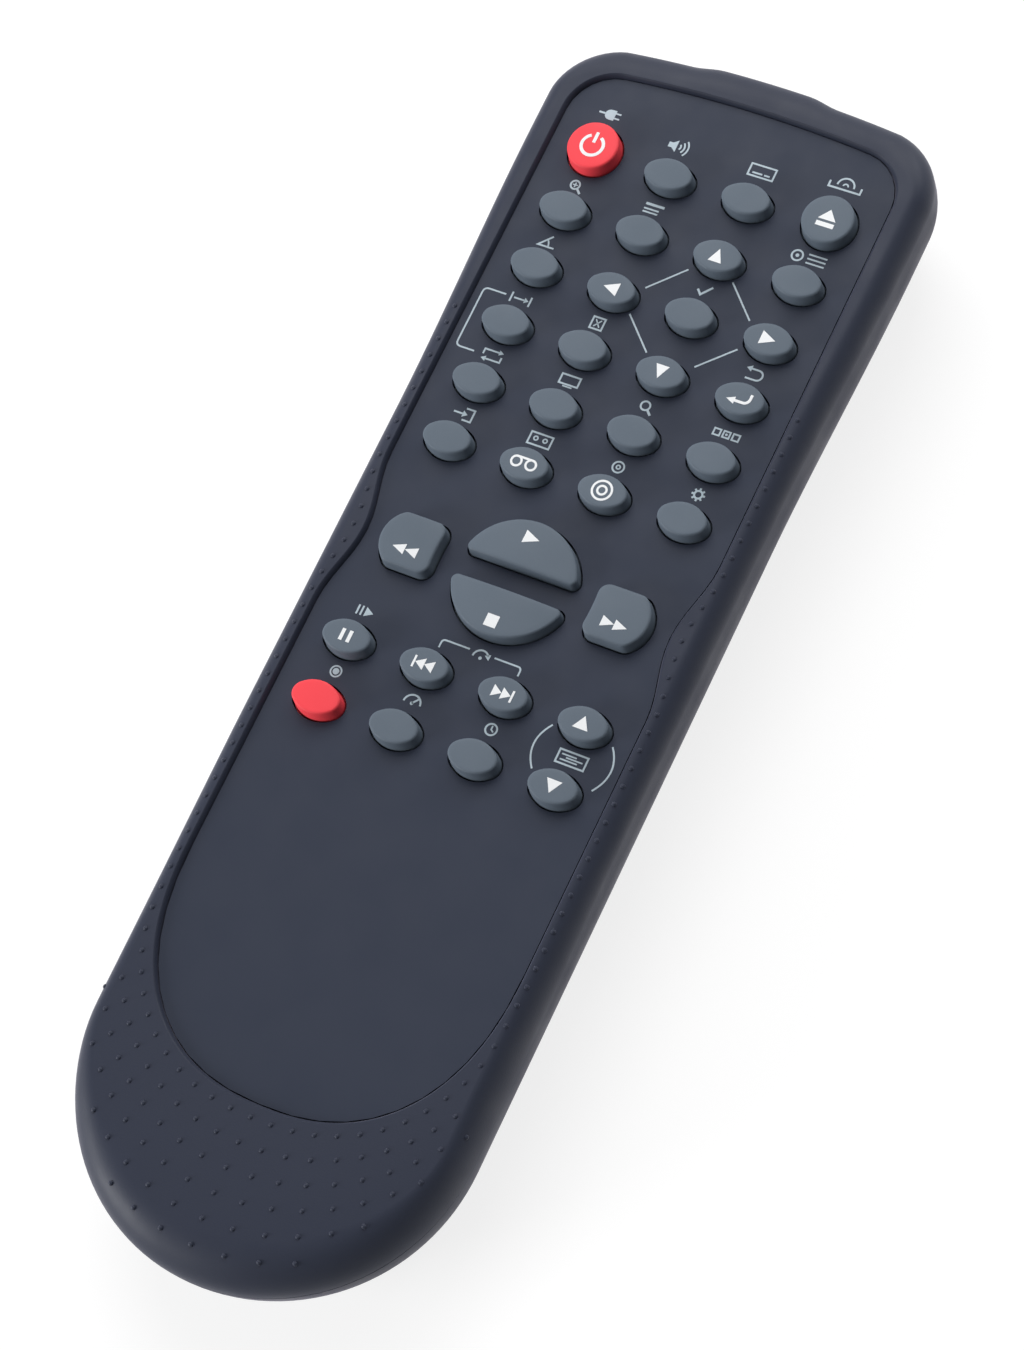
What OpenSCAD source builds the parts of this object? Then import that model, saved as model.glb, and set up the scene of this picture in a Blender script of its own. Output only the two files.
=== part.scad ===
// Hand-held infrared remote control for a disc and tape player.
// It lies on its back: +Z up out of the keys, +Y towards the infrared end, millimetres.
// The origin is under the middle of the case, on the surface that it rests on.

/* [Case] */
// Overall length, from the palm end to the infrared window
case_len = 196; // [190:1:205]
// Width over the grip
grip_w = 60.2; // [59:0.2:64]
// Width over the keypad end
head_w = 62.6; // [62:0.2:67]
// Height of the raised rim around the face plate
rim_z = 22.1; // [22:0.1:25]
// Height of the joint between the two case halves
parting_z = 15.5; // [15:0.1:16.5]
// Thickness of the case walls
wall = 1.8; // [1.4:0.1:2.2]
// Radius of the two corners at the keypad end
head_corner_r = 11; // [9:0.5:13]
// Radius of the slightly bowed edge of the keypad end
head_bow_r = 210; // [150:10:400]
// How far the window stands out of the keypad end
window_bulge = 0.6; // [0.2:0.1:1]
// Half width of the part of the edge that stands out
bulge_half_w = 9.5; // [9:0.5:12]
// Length over which the grip widens into the keypad end
taper_len = 50; // [30:5:70]
// Distance from the keypad end to the full head width
taper_stop = 18; // [14:1:22]
// Horizontal reach of the rounded upper edge
shoulder_w = 2.8; // [2:0.2:3]
// Height of the rounded upper edge
shoulder_h = 4; // [3:0.5:6]
// How much further the rounded edge reaches at the tip of the palm end
palm_round = 3.8; // [0:0.2:4]
// How much further down the rounded edge starts in the palm end
palm_deep = 2.5; // [0:0.1:2.6]
// How much further the rounded edge reaches at the keypad end
head_round = 2.2; // [0:0.2:2.4]
// Horizontal reach of the rounded underside
foot_reach = 10.2; // [8:0.2:11]

/* [Face plate] */
// Width of the face plate
plate_w = 53.3; // [52.8:0.1:54]
// Thickness of the face plate
plate_t = 1.5; // [1.2:0.1:1.8]
// Depth of the face plate's upper face below the rim
plate_drop = 0.8; // [0.7:0.1:1.2]
// Distance from the keypad end of the case to the face plate
plate_head_margin = 6.4; // [6:0.2:8]
// Distance from the palm end of the case to the face plate
plate_palm_margin = 25.3; // [24:0.5:30]
// Radius of the face plate's two upper corners
plate_corner_r = 7.5; // [6.5:0.5:8.5]
// Length of the face plate's round lower end
plate_round_len = 30.9; // [26:0.5:34]
// How far the face plate is drawn in at the waist
waist_depth = 2.1; // [1:0.1:2.2]
// Half length of the waist
waist_half = 12.6; // [11:0.2:15]
// Slope of the rim's inner edge, measured across
rim_slope = 0.35; // [0.3:0.05:0.6]
// Width of the ledge that carries the face plate
ledge_w = 1; // [0.8:0.1:1.1]
// Thickness of that ledge
ledge_t = 1.3; // [1:0.1:1.4]

/* [Keys] */
// Spacing of the four columns of keys
col_pitch = 12.7; // [12.4:0.05:12.8]
// Spacing of the rows of keys
row_pitch = 10; // [9.7:0.05:10.2]
// Distance from the face plate's upper edge to the first row
first_row_margin = 14.5; // [14:0.1:16]
// Row spacings from the first row to the middle of the big keys
big_row_count = 6.68; // [6.6:0.01:6.7]
// Row spacings from the first row to the pause row
lower_row_count = 8.34; // [8.3:0.01:8.4]
// Width of an oval key
oval_w = 7.8; // [7.4:0.1:8.2]
// Height of an oval key
oval_h = 5.4; // [5:0.1:5.6]
// Radius of an oval key's two ends
oval_end_r = 1.9; // [1.7:0.05:2.2]
// Radius of the two round keys
round_r = 4.05; // [3.8:0.05:4.3]
// How far the round keys sit above the first row
round_lift = 0.8; // [0.4:0.1:1]
// How far the round keys sit outside their columns
round_out = 0.15; // [0:0.05:0.3]
// Radius of the disc that the play and stop keys are cut from
play_r = 9.35; // [9:0.05:9.5]
// Gap between the play and stop keys
play_gap = 3.7; // [3.4:0.1:4.5]
// Radius of the outer side of the rewind and forward keys
wing_r = 5; // [4.6:0.1:5.2]
// Distance from the middle of the case to the inner side of those keys
wing_x = 12.15; // [12.1:0.05:12.4]
// Width of those keys
wing_w = 9.5; // [9:0.1:9.6]
// Height of those keys
wing_h = 8.5; // [8:0.1:9]
// Corner radius of the rewind and forward keys
wing_corner_r = 1.7; // [1.2:0.1:2]
// Corner radius of the play and stop keys
half_corner_r = 1; // [0.6:0.1:1.2]
// How far the keys stand out of the face plate
key_rise = 2.2; // [1.5:0.1:2.6]
// Radius of the dome on a key's top
key_dome_r = 80; // [40:5:120]
// How far a key goes down when it is pressed
key_travel = 1; // [0.6:0.1:1.1]
// Clearance all round a key in its hole
key_gap = 0.35; // [0.3:0.05:0.4]
// Width of the flange that keeps a key in the case
flange_w = 0.7; // [0.6:0.05:0.75]
// Thickness of that flange
flange_t = 1; // [0.8:0.1:1.1]
// Clearance between flange and face plate
flange_gap = 0.3; // [0.2:0.05:0.4]
// Radius of a key's stem
stem_r = 2.1; // [1.9:0.1:2.2]
// Thickness of the carbon pill under a key
pill_t = 0.4; // [0.3:0.05:0.5]

/* [Circuit board and keypad mat] */
// Thickness of the circuit board
board_t = 1.6; // [1.2:0.1:1.8]
// Half width of the circuit board
board_half_w = 24; // [23.5:0.5:25]
// Corner radius of the circuit board
board_corner_r = 5; // [3:0.5:6]
// Distance from the keypad end of the case to the board
board_head_margin = 8.5; // [8:0.5:10]
// Thickness of a contact pad
pad_t = 0.1; // [0.05:0.05:0.15]
// Clearance between a fully pressed key's pill and its pad
pill_gap = 0.05; // [0.02:0.01:0.1]
// Thickness of the rubber mat
mat_t = 0.9; // [0.7:0.1:1]
// Width of the collar around each stem
collar_w = 0.7; // [0.6:0.1:0.8]
// Radius of the posts under the board
post_r = 2; // [1.6:0.1:2.4]

/* [Infrared end] */
// Radius of the infrared lamp
lamp_r = 2.5; // [2:0.1:2.6]
// Length of the infrared lamp
lamp_len = 8.6; // [8:0.1:9]
// Half width of the window
window_half_w = 8; // [6:0.5:8.5]
// Height of the window's lower edge
window_low = 8.5; // [8:0.1:9]
// Height of the window's upper edge
window_high = 17; // [16:0.1:17.5]
// Clearance around the window
window_gap = 0.1; // [0.05:0.05:0.15]

/* [Battery bay] */
// Radius of a cell
cell_r = 7.25; // [7.05:0.05:7.25]
// Distance from the palm end of the case to the battery bay
bay_palm_margin = 17.6; // [17.6:0.1:18.6]
// Length of a coil contact between its plate and the cell
coil_len = 4.5; // [4:0.1:4.5]
// Radius of the coil contact's wire
wire_r = 0.35; // [0.3:0.05:0.4]
// Thickness of the contact plates
contact_t = 0.5; // [0.4:0.1:0.6]
// Gap between the board's lower end and the bay
bay_board_gap = 1.5; // [1:0.1:2]
// Clearance between the cells and the sides of the bay
cell_side_gap = 0.6; // [0.4:0.1:0.7]
// Thickness of the bay's walls
bay_wall = 1.4; // [1.2:0.1:1.6]
// Thickness of the battery door
door_t = 1.8; // [1.6:0.1:1.9]
// Clearance around the battery door
door_gap = 0.35; // [0.3:0.05:0.4]
// Corner radius of the battery door
door_corner_r = 2; // [1.5:0.1:3]
// How far the battery door laps under the bay's side walls
door_lap = 1.1; // [0.8:0.1:1.2]

/* [Screws] */
// Distance of the screws from the middle of the case
screw_x = 8; // [7:0.5:9]
// Distance of the screws from the palm end
screw_margin = 13.3; // [13:0.1:14]
// Radius of a screw's shank
screw_r = 0.95; // [0.8:0.05:1]
// Radius of a screw's head
screw_head_r = 2; // [1.8:0.1:2.1]
// Thickness of a screw's head
screw_head_t = 1.6; // [1.4:0.1:1.8]
// Radius of a screw post
screw_post_r = 3.1; // [3:0.1:3.2]

/* [Hidden] */
$fn = 48;

// Ends of the case and of the face plate
head_y = case_len / 2;
palm_y = -case_len / 2;
bow_y = head_y - window_bulge;
plate_top_y = head_y - plate_head_margin;
plate_low_y = palm_y + plate_palm_margin;

// Levels, from the bottom up
floor_t = wall + 0.1;
plate_z = rim_z - plate_drop;
plate_under = plate_z - plate_t;
flange_top = plate_under - flange_gap;
flange_low = flange_top - flange_t;
key_top = plate_z + key_rise;
board_top = parting_z + 0.1;
board_low = board_top - board_t;
pill_low = board_top + pad_t + key_travel + pill_gap;
collar_top = flange_low - key_travel - 0.3;

// Keys: columns across, rows counted in row spacings down from the first row
row_0 = plate_top_y - first_row_margin;
big_y = row_0 - big_row_count * row_pitch;
wing_cx = wing_x + wing_w / 2;
play_cy = play_gap / 2;
// How far out of the disc's middle the stems of the play and stop keys stand
play_stem_y = play_cy + play_r * 0.36;
function col_x(c) = (c - 1.5) * col_pitch;
function row_y(r) = row_0 - r * row_pitch;
round_x = col_x(3) + round_out;
round_y = row_0 + round_lift;
OVAL_KEYS = [
    ["key_audio", 1, 0], ["key_subtitle", 2, 0],
    ["key_zoom", 0, 1], ["key_title", 1, 1], ["key_up", 2, 1], ["key_menu", 3, 1],
    ["key_angle", 0, 2], ["key_left", 1, 2], ["key_enter", 2, 2], ["key_right", 3, 2],
    ["key_section", 0, 3], ["key_clear", 1, 3], ["key_down", 2, 3], ["key_return", 3, 3],
    ["key_repeat", 0, 4], ["key_display", 1, 4], ["key_search", 2, 4], ["key_mode", 3, 4],
    ["key_input", 0, 5], ["key_tape", 1, 5], ["key_disc", 2, 5], ["key_setup", 3, 5],
    ["key_pause", 0, lower_row_count], ["key_skip_back", 1, lower_row_count],
    ["key_skip_next", 2, lower_row_count], ["key_track_up", 3, lower_row_count],
    ["key_record", 0, lower_row_count + 1], ["key_speed", 1, lower_row_count + 1],
    ["key_timer", 2, lower_row_count + 1], ["key_track_down", 3, lower_row_count + 1]
];
ROUND_KEYS = [["key_power", -1], ["key_eject", 1]];
HALF_KEYS = [["key_play", 1], ["key_stop", -1]];
WING_KEYS = [["key_rewind", -1], ["key_forward", 1]];
stem_centres = concat(
    [for (k = OVAL_KEYS) [col_x(k[1]), row_y(k[2])]],
    [for (k = ROUND_KEYS) [k[1] * round_x, round_y]],
    [for (k = HALF_KEYS) [0, big_y + k[1] * play_stem_y]],
    [for (k = WING_KEYS) [k[1] * wing_cx, big_y]]
);

// Four-arc oval: its two flat sides are arcs that the end circles touch from inside
oval_cx = oval_w / 2 - oval_end_r;
oval_k = (pow(oval_cx, 2) - pow(oval_h / 2 - oval_end_r, 2)) / (oval_h - 2 * oval_end_r);
oval_side_r = oval_h / 2 + oval_k;

// Circuit board and bay, from the head end to the palm end
board_top_y = head_y - board_head_margin;
board_low_y = row_y(lower_row_count + 1) - stem_r - collar_w - 1.8;
bay_top_y = board_low_y - bay_board_gap - bay_wall;
bay_low_y = palm_y + bay_palm_margin;
bay_len = bay_top_y - bay_low_y;
contact_lip = 0.6;
// The cells, buttons included, fill what the contacts leave of the bay: size AA
cell_len = bay_len - contact_t * 2 - contact_lip - coil_len;
cell_gap = 0.6;
cell_x = cell_r + cell_gap / 2;
door_rib = 0.2;
cell_z = door_t + door_rib + 0.3 + cell_r;
bay_half_w = cell_x + cell_r + cell_side_gap;
bay_top_z = board_low - 0.6;
hole_half_w = bay_half_w + door_lap + door_gap;
door_half_w = hole_half_w - door_gap;
hole_top_y = bay_top_y + 1.2;
hole_low_y = bay_low_y + 1.2;
// The door's two tabs pass beside the cells and over the flat of the floor
tab_w = 2.2;
tab_inset = 1.4;
tab_x = bay_half_w - tab_w / 2 - tab_inset;
tab_len = 1.9;
tab_z = floor_t + 0.35;
tab_t = 0.7;
end_wall_z = tab_z + tab_t + 2.1;

// Screws
screw_y = palm_y + screw_margin;
post_top = parting_z - 2;
seat_t = 4;
seat_z = post_top - seat_t;
boss_top = rim_z - 1.5;
tip_room = 2.4;
screw_tip = boss_top - tip_room;
slot_w = 0.5;
slot_len = screw_head_r * 1.3;
slot_depth = 0.8;

// ---- outlines, as rings of points that run anticlockwise from the palm end ----

// How many steps each stretch of half an outline has
end_steps = 11;
low_side_steps = 3;
waist_steps = 12;
top_side_steps = 7;
corner_steps = 6;
edge_steps = 8;
// Angle that a corner of the keypad end turns through before the bowed edge starts
corner_span = 84;

function smooth(t) = let (c = max(0, min(1, t))) c * c * (3 - 2 * c);
function run(a, b, n) = [for (i = [0:n - 1]) a + (b - a) * i / n];

// Half width of the case at a height y along it
function case_half_w(y) =
    let (t = (y - (head_y - taper_stop - taper_len)) / taper_len)
    grip_w / 2 + (head_w - grip_w) / 2 * smooth(t);

// Far edge of the keypad end, with the part that stands out for the window
function case_edge_y(x) =
    bow_y - x * x / (2 * head_bow_r)
    + window_bulge * (1 - smooth((abs(x) - bulge_half_w + 2.5) / 5));

// Half width of the face plate, drawn in around the big keys
function plate_half_w(y) =
    let (d = abs(y - big_y) / waist_half)
    plate_w / 2 - (d < 1 ? waist_depth * (0.5 + 0.5 * cos(180 * d)) : 0);
function plate_edge_y(x) = plate_top_y - x * x / (2 * head_bow_r);

waist_low_y = big_y - waist_half;
waist_top_y = big_y + waist_half;
grip_r = grip_w / 2;
grip_cy = palm_y + grip_r;
head_cx = head_w / 2 - head_corner_r;
head_cy = case_edge_y(head_cx) - head_corner_r;
plate_cx = plate_w / 2 - plate_corner_r;
plate_cy = plate_edge_y(plate_cx) - plate_corner_r;
plate_end_cy = plate_low_y + plate_round_len;
plate_end_power = 2 / 2.35;

function side_ys(y0, y1) = concat(
    run(y0, waist_low_y, low_side_steps),
    run(waist_low_y, waist_top_y, waist_steps),
    run(waist_top_y, y1, top_side_steps)
);
function corner(cx, cy, r) =
    [for (a = run(0, corner_span, corner_steps)) [cx + r * cos(a), cy + r * sin(a)]];

case_half = concat(
    [for (a = run(-90, 0, end_steps)) [grip_r * cos(a), grip_cy + grip_r * sin(a)]],
    [for (y = side_ys(grip_cy, head_cy)) [case_half_w(y), y]],
    corner(head_cx, head_cy, head_corner_r),
    [for (x = run(head_cx + head_corner_r * cos(corner_span), 0, edge_steps)) [x, case_edge_y(x)]],
    [[0, case_edge_y(0)]]
);
plate_half = concat(
    [for (a = run(-90, 0, end_steps)) [
        plate_w / 2 * pow(cos(a), plate_end_power),
        plate_end_cy - plate_round_len * pow(-sin(a), plate_end_power)
    ]],
    [for (y = side_ys(plate_end_cy, plate_cy)) [plate_half_w(y), y]],
    corner(plate_cx, plate_cy, plate_corner_r),
    [for (x = run(plate_cx + plate_corner_r * cos(corner_span), 0, edge_steps)) [x, plate_edge_y(x)]],
    [[0, plate_edge_y(0)]]
);

// The whole ring from its right half, whose first and last points lie on the middle line
function whole(half) = concat(half, [for (i = [len(half) - 2:-1:1]) [-half[i][0], half[i][1]]]);
case_ring = whole(case_half);
plate_ring = whole(plate_half);

// A ring moved inwards by d along its own normals (outwards if d is negative)
function inset(ring, d) = let (n = len(ring)) [
    for (i = [0:n - 1])
        let (
            t = ring[(i + 1) % n] - ring[(i + n - 1) % n],
            m = [t[1], -t[0]] / norm(t)
        )
        ring[i] - d * m
];

// A ring moved inwards by its own distance at each point
function inset_each(ring, ds) = let (n = len(ring)) [
    for (i = [0:n - 1])
        let (
            t = ring[(i + 1) % n] - ring[(i + n - 1) % n],
            m = [t[1], -t[0]] / norm(t)
        )
        ring[i] - ds[i] * m
];
function lifted(ring, z) = [for (p = ring) [p[0], p[1], z]];
function lifted_each(ring, zs) = [for (i = [0:len(ring) - 1]) [ring[i][0], ring[i][1], zs[i]]];

// A flat cap over a ring that starts at point k, in strips across its middle line
function cap_strips(n, k) = [
    for (i = [0:n / 2 - 1])
        let (
            a = k + i,
            b = k + i + 1,
            c = k + n - i - 1,
            d = k + (n - i) % n
        )
        each concat(b == c ? [] : [[a, b, c]], a == d ? [] : [[a, c, d]])
];

// A skin through a stack of rings; a loop joins the last ring to the first, else both are capped
module skin(rings, loop) {
    n = len(rings[0]);
    m = len(rings);
    spans = loop ? m : m - 1;
    sides = [
        for (j = [0:spans - 1], i = [0:n - 1])
            let (
                a = j * n + i,
                b = j * n + (i + 1) % n,
                c = ((j + 1) % m) * n + (i + 1) % n,
                d = ((j + 1) % m) * n + i
            )
            each [[a, c, b], [a, d, c]]
    ];
    caps = loop ? [] : concat(
        cap_strips(n, 0),
        [for (f = cap_strips(n, (m - 1) * n)) [f[2], f[1], f[0]]]
    );
    polyhedron(points = [for (r = rings) each r], faces = concat(sides, caps), convexity = 8);
}

// ---- case ----

shoulder_z = rim_z - shoulder_h;
side_room = grip_w / 2 - plate_w / 2;
ceiling_z = rim_z - wall - 0.2;
groove_w = 0.9;
under_insets = [for (p = case_ring) p[1] < grip_cy - 1 ? 4 : side_room - groove_w - 0.4];
// The rounded edge reaches further in towards the tip of the palm end and at the keypad end
shoulder_reach = [for (p = case_ring)
    shoulder_w + palm_round * smooth((grip_cy - p[1]) / grip_r)
        + head_round * smooth((p[1] - head_cy) / head_corner_r)];
// Height at which the rounded edge starts, lower in the palm end
deepening_len = 50;
shoulder_start = [for (p = case_ring)
    shoulder_z - palm_deep * smooth((grip_cy - p[1]) / deepening_len + 1)];

module top_case_shell() {
    skin([
        lifted(case_ring, parting_z),
        each [
            for (a = [0, 24, 48, 70, 90])
                lifted_each(
                    inset_each(case_ring, [for (r = shoulder_reach) r * (1 - cos(a))]),
                    [for (z = shoulder_start) z + (rim_z - z) * sin(a)]
                )
        ],
        lifted(inset(plate_ring, -rim_slope), rim_z),
        lifted(plate_ring, plate_z - 0.1),
        lifted(plate_ring, plate_under),
        lifted(inset(plate_ring, ledge_w), plate_under),
        lifted(inset(plate_ring, ledge_w), plate_under - ledge_t),
        lifted(inset(plate_ring, -groove_w), plate_under - ledge_t),
        lifted(inset(plate_ring, -groove_w), ceiling_z),
        lifted(inset_each(case_ring, under_insets), ceiling_z),
        lifted(inset(case_ring, wall), parting_z + 2),
        lifted(inset(case_ring, wall), parting_z)
    ], true);
}

module top_case() {
    color([0.25, 0.26, 0.30])
    difference() {
        union() {
            top_case_shell();
            for (s = [-1, 1])
                translate([s * screw_x, screw_y, post_top])
                    cylinder(r = screw_post_r - 0.3, h = boss_top - post_top);
        }
        window_cut();
        for (s = [-1, 1])
            translate([s * screw_x, screw_y, post_top - 1])
                cylinder(r = screw_r + 0.05, h = screw_tip + 0.3 - post_top + 1);
    }
}

foot_power = 2 / 1.7;
function foot_rings(low, d, steps) = [
    for (a = [for (i = [0:steps]) 90 * i / steps])
        let (
            up = 1 - pow(cos(a), foot_power),
            reach = foot_reach * (1 - pow(sin(a), foot_power))
        )
        lifted(inset(case_ring, d + reach), low + (parting_z - low) * up)
];

module bottom_case_shell() {
    outer = foot_rings(0, 0, 8);
    inner = foot_rings(floor_t, wall, 6);
    skin(concat(outer, [for (i = [len(inner) - 1:-1:0]) inner[i]]), false);
}

// The posts stand on the flat part of the floor, clear of its rounded sides
post_room = 1.1;
post_x = grip_w / 2 - wall - foot_reach - post_r - post_room;
post_places = [
    for (s = [-1, 1], y = [board_top_y - 8, row_y(2.5), row_y(5.5), board_low_y + 3])
        [s * post_x, y]
];

module bay_walls() {
    reach = hole_half_w + 0.9;
    top_z = bay_top_z;
    for (s = [-1, 1]) {
        translate([s > 0 ? bay_half_w : -reach, bay_low_y - bay_wall, tab_z])
            cube([reach - bay_half_w, bay_len + 2 * bay_wall, top_z - tab_z]);
        translate([s > 0 ? hole_half_w : -reach, bay_low_y - bay_wall, floor_t - 0.4])
            cube([reach - hole_half_w, bay_len + 2 * bay_wall, top_z - floor_t]);
    }
    translate([-reach, bay_top_y, tab_z])
        cube([2 * reach, bay_wall, top_z - tab_z]);
    translate([-reach, bay_low_y - bay_wall, end_wall_z])
        cube([2 * reach, bay_wall, top_z - end_wall_z]);
}

module bottom_case() {
    color([0.23, 0.24, 0.28])
    difference() {
        union() {
            bottom_case_shell();
            bay_walls();
            for (p = post_places)
                translate([p[0], p[1], floor_t - 0.4])
                    cylinder(r = post_r, h = board_low - floor_t + 0.4);
            for (s = [-1, 1])
                translate([s * screw_x, screw_y, floor_t - 0.4])
                    cylinder(r = screw_post_r, h = post_top - floor_t + 0.4);
        }
        translate([-hole_half_w, hole_low_y, -1])
            cube([2 * hole_half_w, hole_top_y - hole_low_y, floor_t + 1.2]);
        window_cut();
        for (s = [-1, 1])
            translate([s * screw_x, screw_y, -1]) {
                cylinder(r = screw_head_r + 0.3, h = seat_z + 1);
                cylinder(r = screw_r + 0.25, h = post_top + 2);
            }
    }
}

module window_cut() {
    w = window_half_w + window_gap;
    translate([-w, head_y - 6, window_low - window_gap])
        cube([2 * w, 12, window_high - window_low + 2 * window_gap]);
}

// Everything inside the outer surface of the closed case, moved inwards by d
module case_core(d) {
    skin(concat(
        foot_rings(0, d, 6),
        [for (a = [0, 30, 60, 90])
            lifted_each(
                inset_each(case_ring, [for (r = shoulder_reach) d + r * (1 - cos(a))]),
                [for (z = shoulder_start) z + (rim_z - d - z) * sin(a)]
            )]
    ), false);
}

window_t = 3.4;

module lamp_window() {
    color([0.09, 0.08, 0.12])
    intersection() {
        translate([-window_half_w, head_y - window_t, window_low])
            cube([2 * window_half_w, 6, window_high - window_low]);
        case_core(0.25);
    }
}

// ---- face plate and keys ----

// Outline of an oval key, grown by g
module oval(g) {
    rs = oval_side_r + g;
    tip_x = oval_cx * rs / (oval_side_r - oval_end_r);
    for (s = [-1, 1])
        translate([s * oval_cx, 0])
            circle(r = oval_end_r + g);
    intersection() {
        translate([0, -oval_k])
            circle(r = rs);
        translate([0, oval_k])
            circle(r = rs);
        square([2 * tip_x, oval_h + 4 * g + 2], center = true);
    }
}

// Outline of the play key (s = 1) or the stop key (s = -1), grown by g
module half_disc(s, g) {
    offset(r = half_corner_r + g)
        offset(delta = -half_corner_r)
            intersection() {
                circle(r = play_r, $fn = 80);
                translate([-play_r, s > 0 ? play_cy : -play_r - play_cy])
                    square([2 * play_r, play_r]);
            }
}

// Outline of the rewind key (s = -1) or the forward key (s = 1), grown by g
module wing(s, g) {
    inner_w = wing_w * 0.6;
    hollow_r = 28;
    offset(r = wing_corner_r + g, $fn = 32)
        offset(delta = -wing_corner_r)
            difference() {
                union() {
                    intersection() {
                        translate([s * (wing_x + wing_w - wing_r), 0])
                            circle(r = wing_r, $fn = 64);
                        square([4 * wing_x, wing_h], center = true);
                    }
                    translate([s > 0 ? wing_x : -wing_x - inner_w, -wing_h / 2])
                        square([inner_w, wing_h]);
                }
                translate([s * (wing_x + 0.3 - hollow_r), 0])
                    circle(r = hollow_r, $fn = 160);
            }
}

// A key: cap and flange of the given outline, with its stem and pill at a centre
module key_body(centre) {
    difference() {
        translate([0, 0, flange_low])
            linear_extrude(height = key_top - flange_low)
                children(0);
        dome_cut(centre);
    }
    translate([0, 0, flange_low])
        linear_extrude(height = flange_t)
            children(1);
    translate([centre[0], centre[1], pill_low + pill_t])
        cylinder(r = stem_r, h = flange_low - pill_low - pill_t + 0.1);
    translate([centre[0], centre[1], pill_low])
        cylinder(r = stem_r - 0.2, h = pill_t + 0.1);
}

// What is above the shallow dome of a key's top
module dome_cut(centre) {
    half = play_r + 4;
    deep = 3;
    translate([centre[0], centre[1], key_top - key_dome_r])
        difference() {
            translate([-half, -half, key_dome_r - deep])
                cube([2 * half, 2 * half, 2 * deep]);
            sphere(r = key_dome_r);
        }
}

module oval_key(k) {
    p = [col_x(k[1]), row_y(k[2])];
    color(k[0] == "key_record" ? [0.85, 0.12, 0.15] : [0.38, 0.42, 0.46])
    key_body(p) {
        translate(p) oval(0);
        translate(p) oval(flange_w + key_gap);
    }
}

module round_key(k) {
    p = [k[1] * round_x, round_y];
    color(k[0] == "key_power" ? [0.85, 0.12, 0.15] : [0.38, 0.42, 0.46])
    key_body(p) {
        translate(p) circle(r = round_r);
        translate(p) circle(r = round_r + flange_w + key_gap);
    }
}

module half_key(k) {
    p = [0, big_y + k[1] * play_stem_y];
    color([0.38, 0.42, 0.46])
    key_body(p) {
        translate([0, big_y]) half_disc(k[1], 0);
        translate([0, big_y]) half_disc(k[1], flange_w + key_gap);
    }
}

module wing_key(k) {
    p = [k[1] * wing_cx, big_y];
    color([0.38, 0.42, 0.46])
    key_body(p) {
        translate([0, big_y]) wing(k[1], 0);
        translate([0, big_y]) wing(k[1], flange_w + key_gap);
    }
}

module plate_hole() {
    translate([0, 0, plate_under - 1])
        linear_extrude(height = plate_t + 2)
            children();
}

module face_plate() {
    color([0.26, 0.28, 0.32])
    difference() {
        translate([0, 0, plate_under])
            linear_extrude(height = plate_t)
                polygon(inset(plate_ring, 0.1));
        for (k = OVAL_KEYS)
            plate_hole() translate([col_x(k[1]), row_y(k[2])]) oval(key_gap);
        for (k = ROUND_KEYS)
            plate_hole() translate([k[1] * round_x, round_y]) circle(r = round_r + key_gap);
        for (k = HALF_KEYS)
            plate_hole() translate([0, big_y]) half_disc(k[1], key_gap);
        for (k = WING_KEYS)
            plate_hole() translate([0, big_y]) wing(k[1], key_gap);
    }
}

// ---- keypad mat, circuit board and what is on it ----

module rounded_rect(x0, y0, x1, y1, r) {
    translate([x0 + r, y0])
        square([x1 - x0 - 2 * r, y1 - y0]);
    translate([x0, y0 + r])
        square([x1 - x0, y1 - y0 - 2 * r]);
    for (x = [x0 + r, x1 - r], y = [y0 + r, y1 - r])
        translate([x, y])
            circle(r = r);
}

module keypad_mat() {
    bore_r = stem_r + key_gap;
    edge = 0.4;
    lamp_room = 4;
    color([0.30, 0.31, 0.33])
    difference() {
        union() {
            translate([0, 0, board_top])
                linear_extrude(height = mat_t)
                    rounded_rect(
                        -board_half_w + edge, board_low_y + edge,
                        board_half_w - edge, board_top_y - lamp_room, board_corner_r
                    );
            for (p = stem_centres)
                translate([p[0], p[1], board_top])
                    cylinder(r = bore_r + collar_w, h = collar_top - board_top);
        }
        for (p = stem_centres)
            translate([p[0], p[1], board_top - 1])
                cylinder(r = bore_r, h = collar_top - board_top + 2);
    }
}

module circuit_board() {
    color([0.55, 0.42, 0.20])
    translate([0, 0, board_low])
        linear_extrude(height = board_t)
            rounded_rect(-board_half_w, board_low_y, board_half_w, board_top_y, board_corner_r);
}

module contact_pads() {
    color([0.08, 0.08, 0.09])
    for (p = stem_centres)
        translate([p[0], p[1], board_top])
            cylinder(r = stem_r, h = pad_t);
}

chip_size = [17.8, 7.6, 2.4];
chip_room = 1.1;
chip_x = post_x - post_r - chip_room - chip_size[0] / 2;
chip_y = row_y(2.5);
leg_count = 14;
leg_pitch = 1.27;

module control_chip() {
    color([0.06, 0.06, 0.07])
    translate([chip_x - chip_size[0] / 2, chip_y - chip_size[1] / 2, board_low - 0.2 - chip_size[2]])
        cube(chip_size);
}

module chip_legs() {
    color([0.75, 0.76, 0.78])
    for (i = [0:leg_count - 1], s = [-1, 1])
        translate([
            chip_x + (i - (leg_count - 1) / 2) * leg_pitch - 0.2,
            chip_y + (s > 0 ? chip_size[1] / 2 : -chip_size[1] / 2 - 1),
            board_low - 1.4
        ])
            cube([0.4, 1, 1.4]);
}

resonator_size = [7, 3.2, 5];
resonator_room = 2.5;

module resonator() {
    color([0.85, 0.55, 0.15])
    translate([
        -post_x + post_r + chip_room,
        chip_y - chip_size[1] / 2 - resonator_room - resonator_size[1],
        board_low - resonator_size[2]
    ])
        cube(resonator_size);
}

capacitor_r = 3;
capacitor_len = 7;

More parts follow.
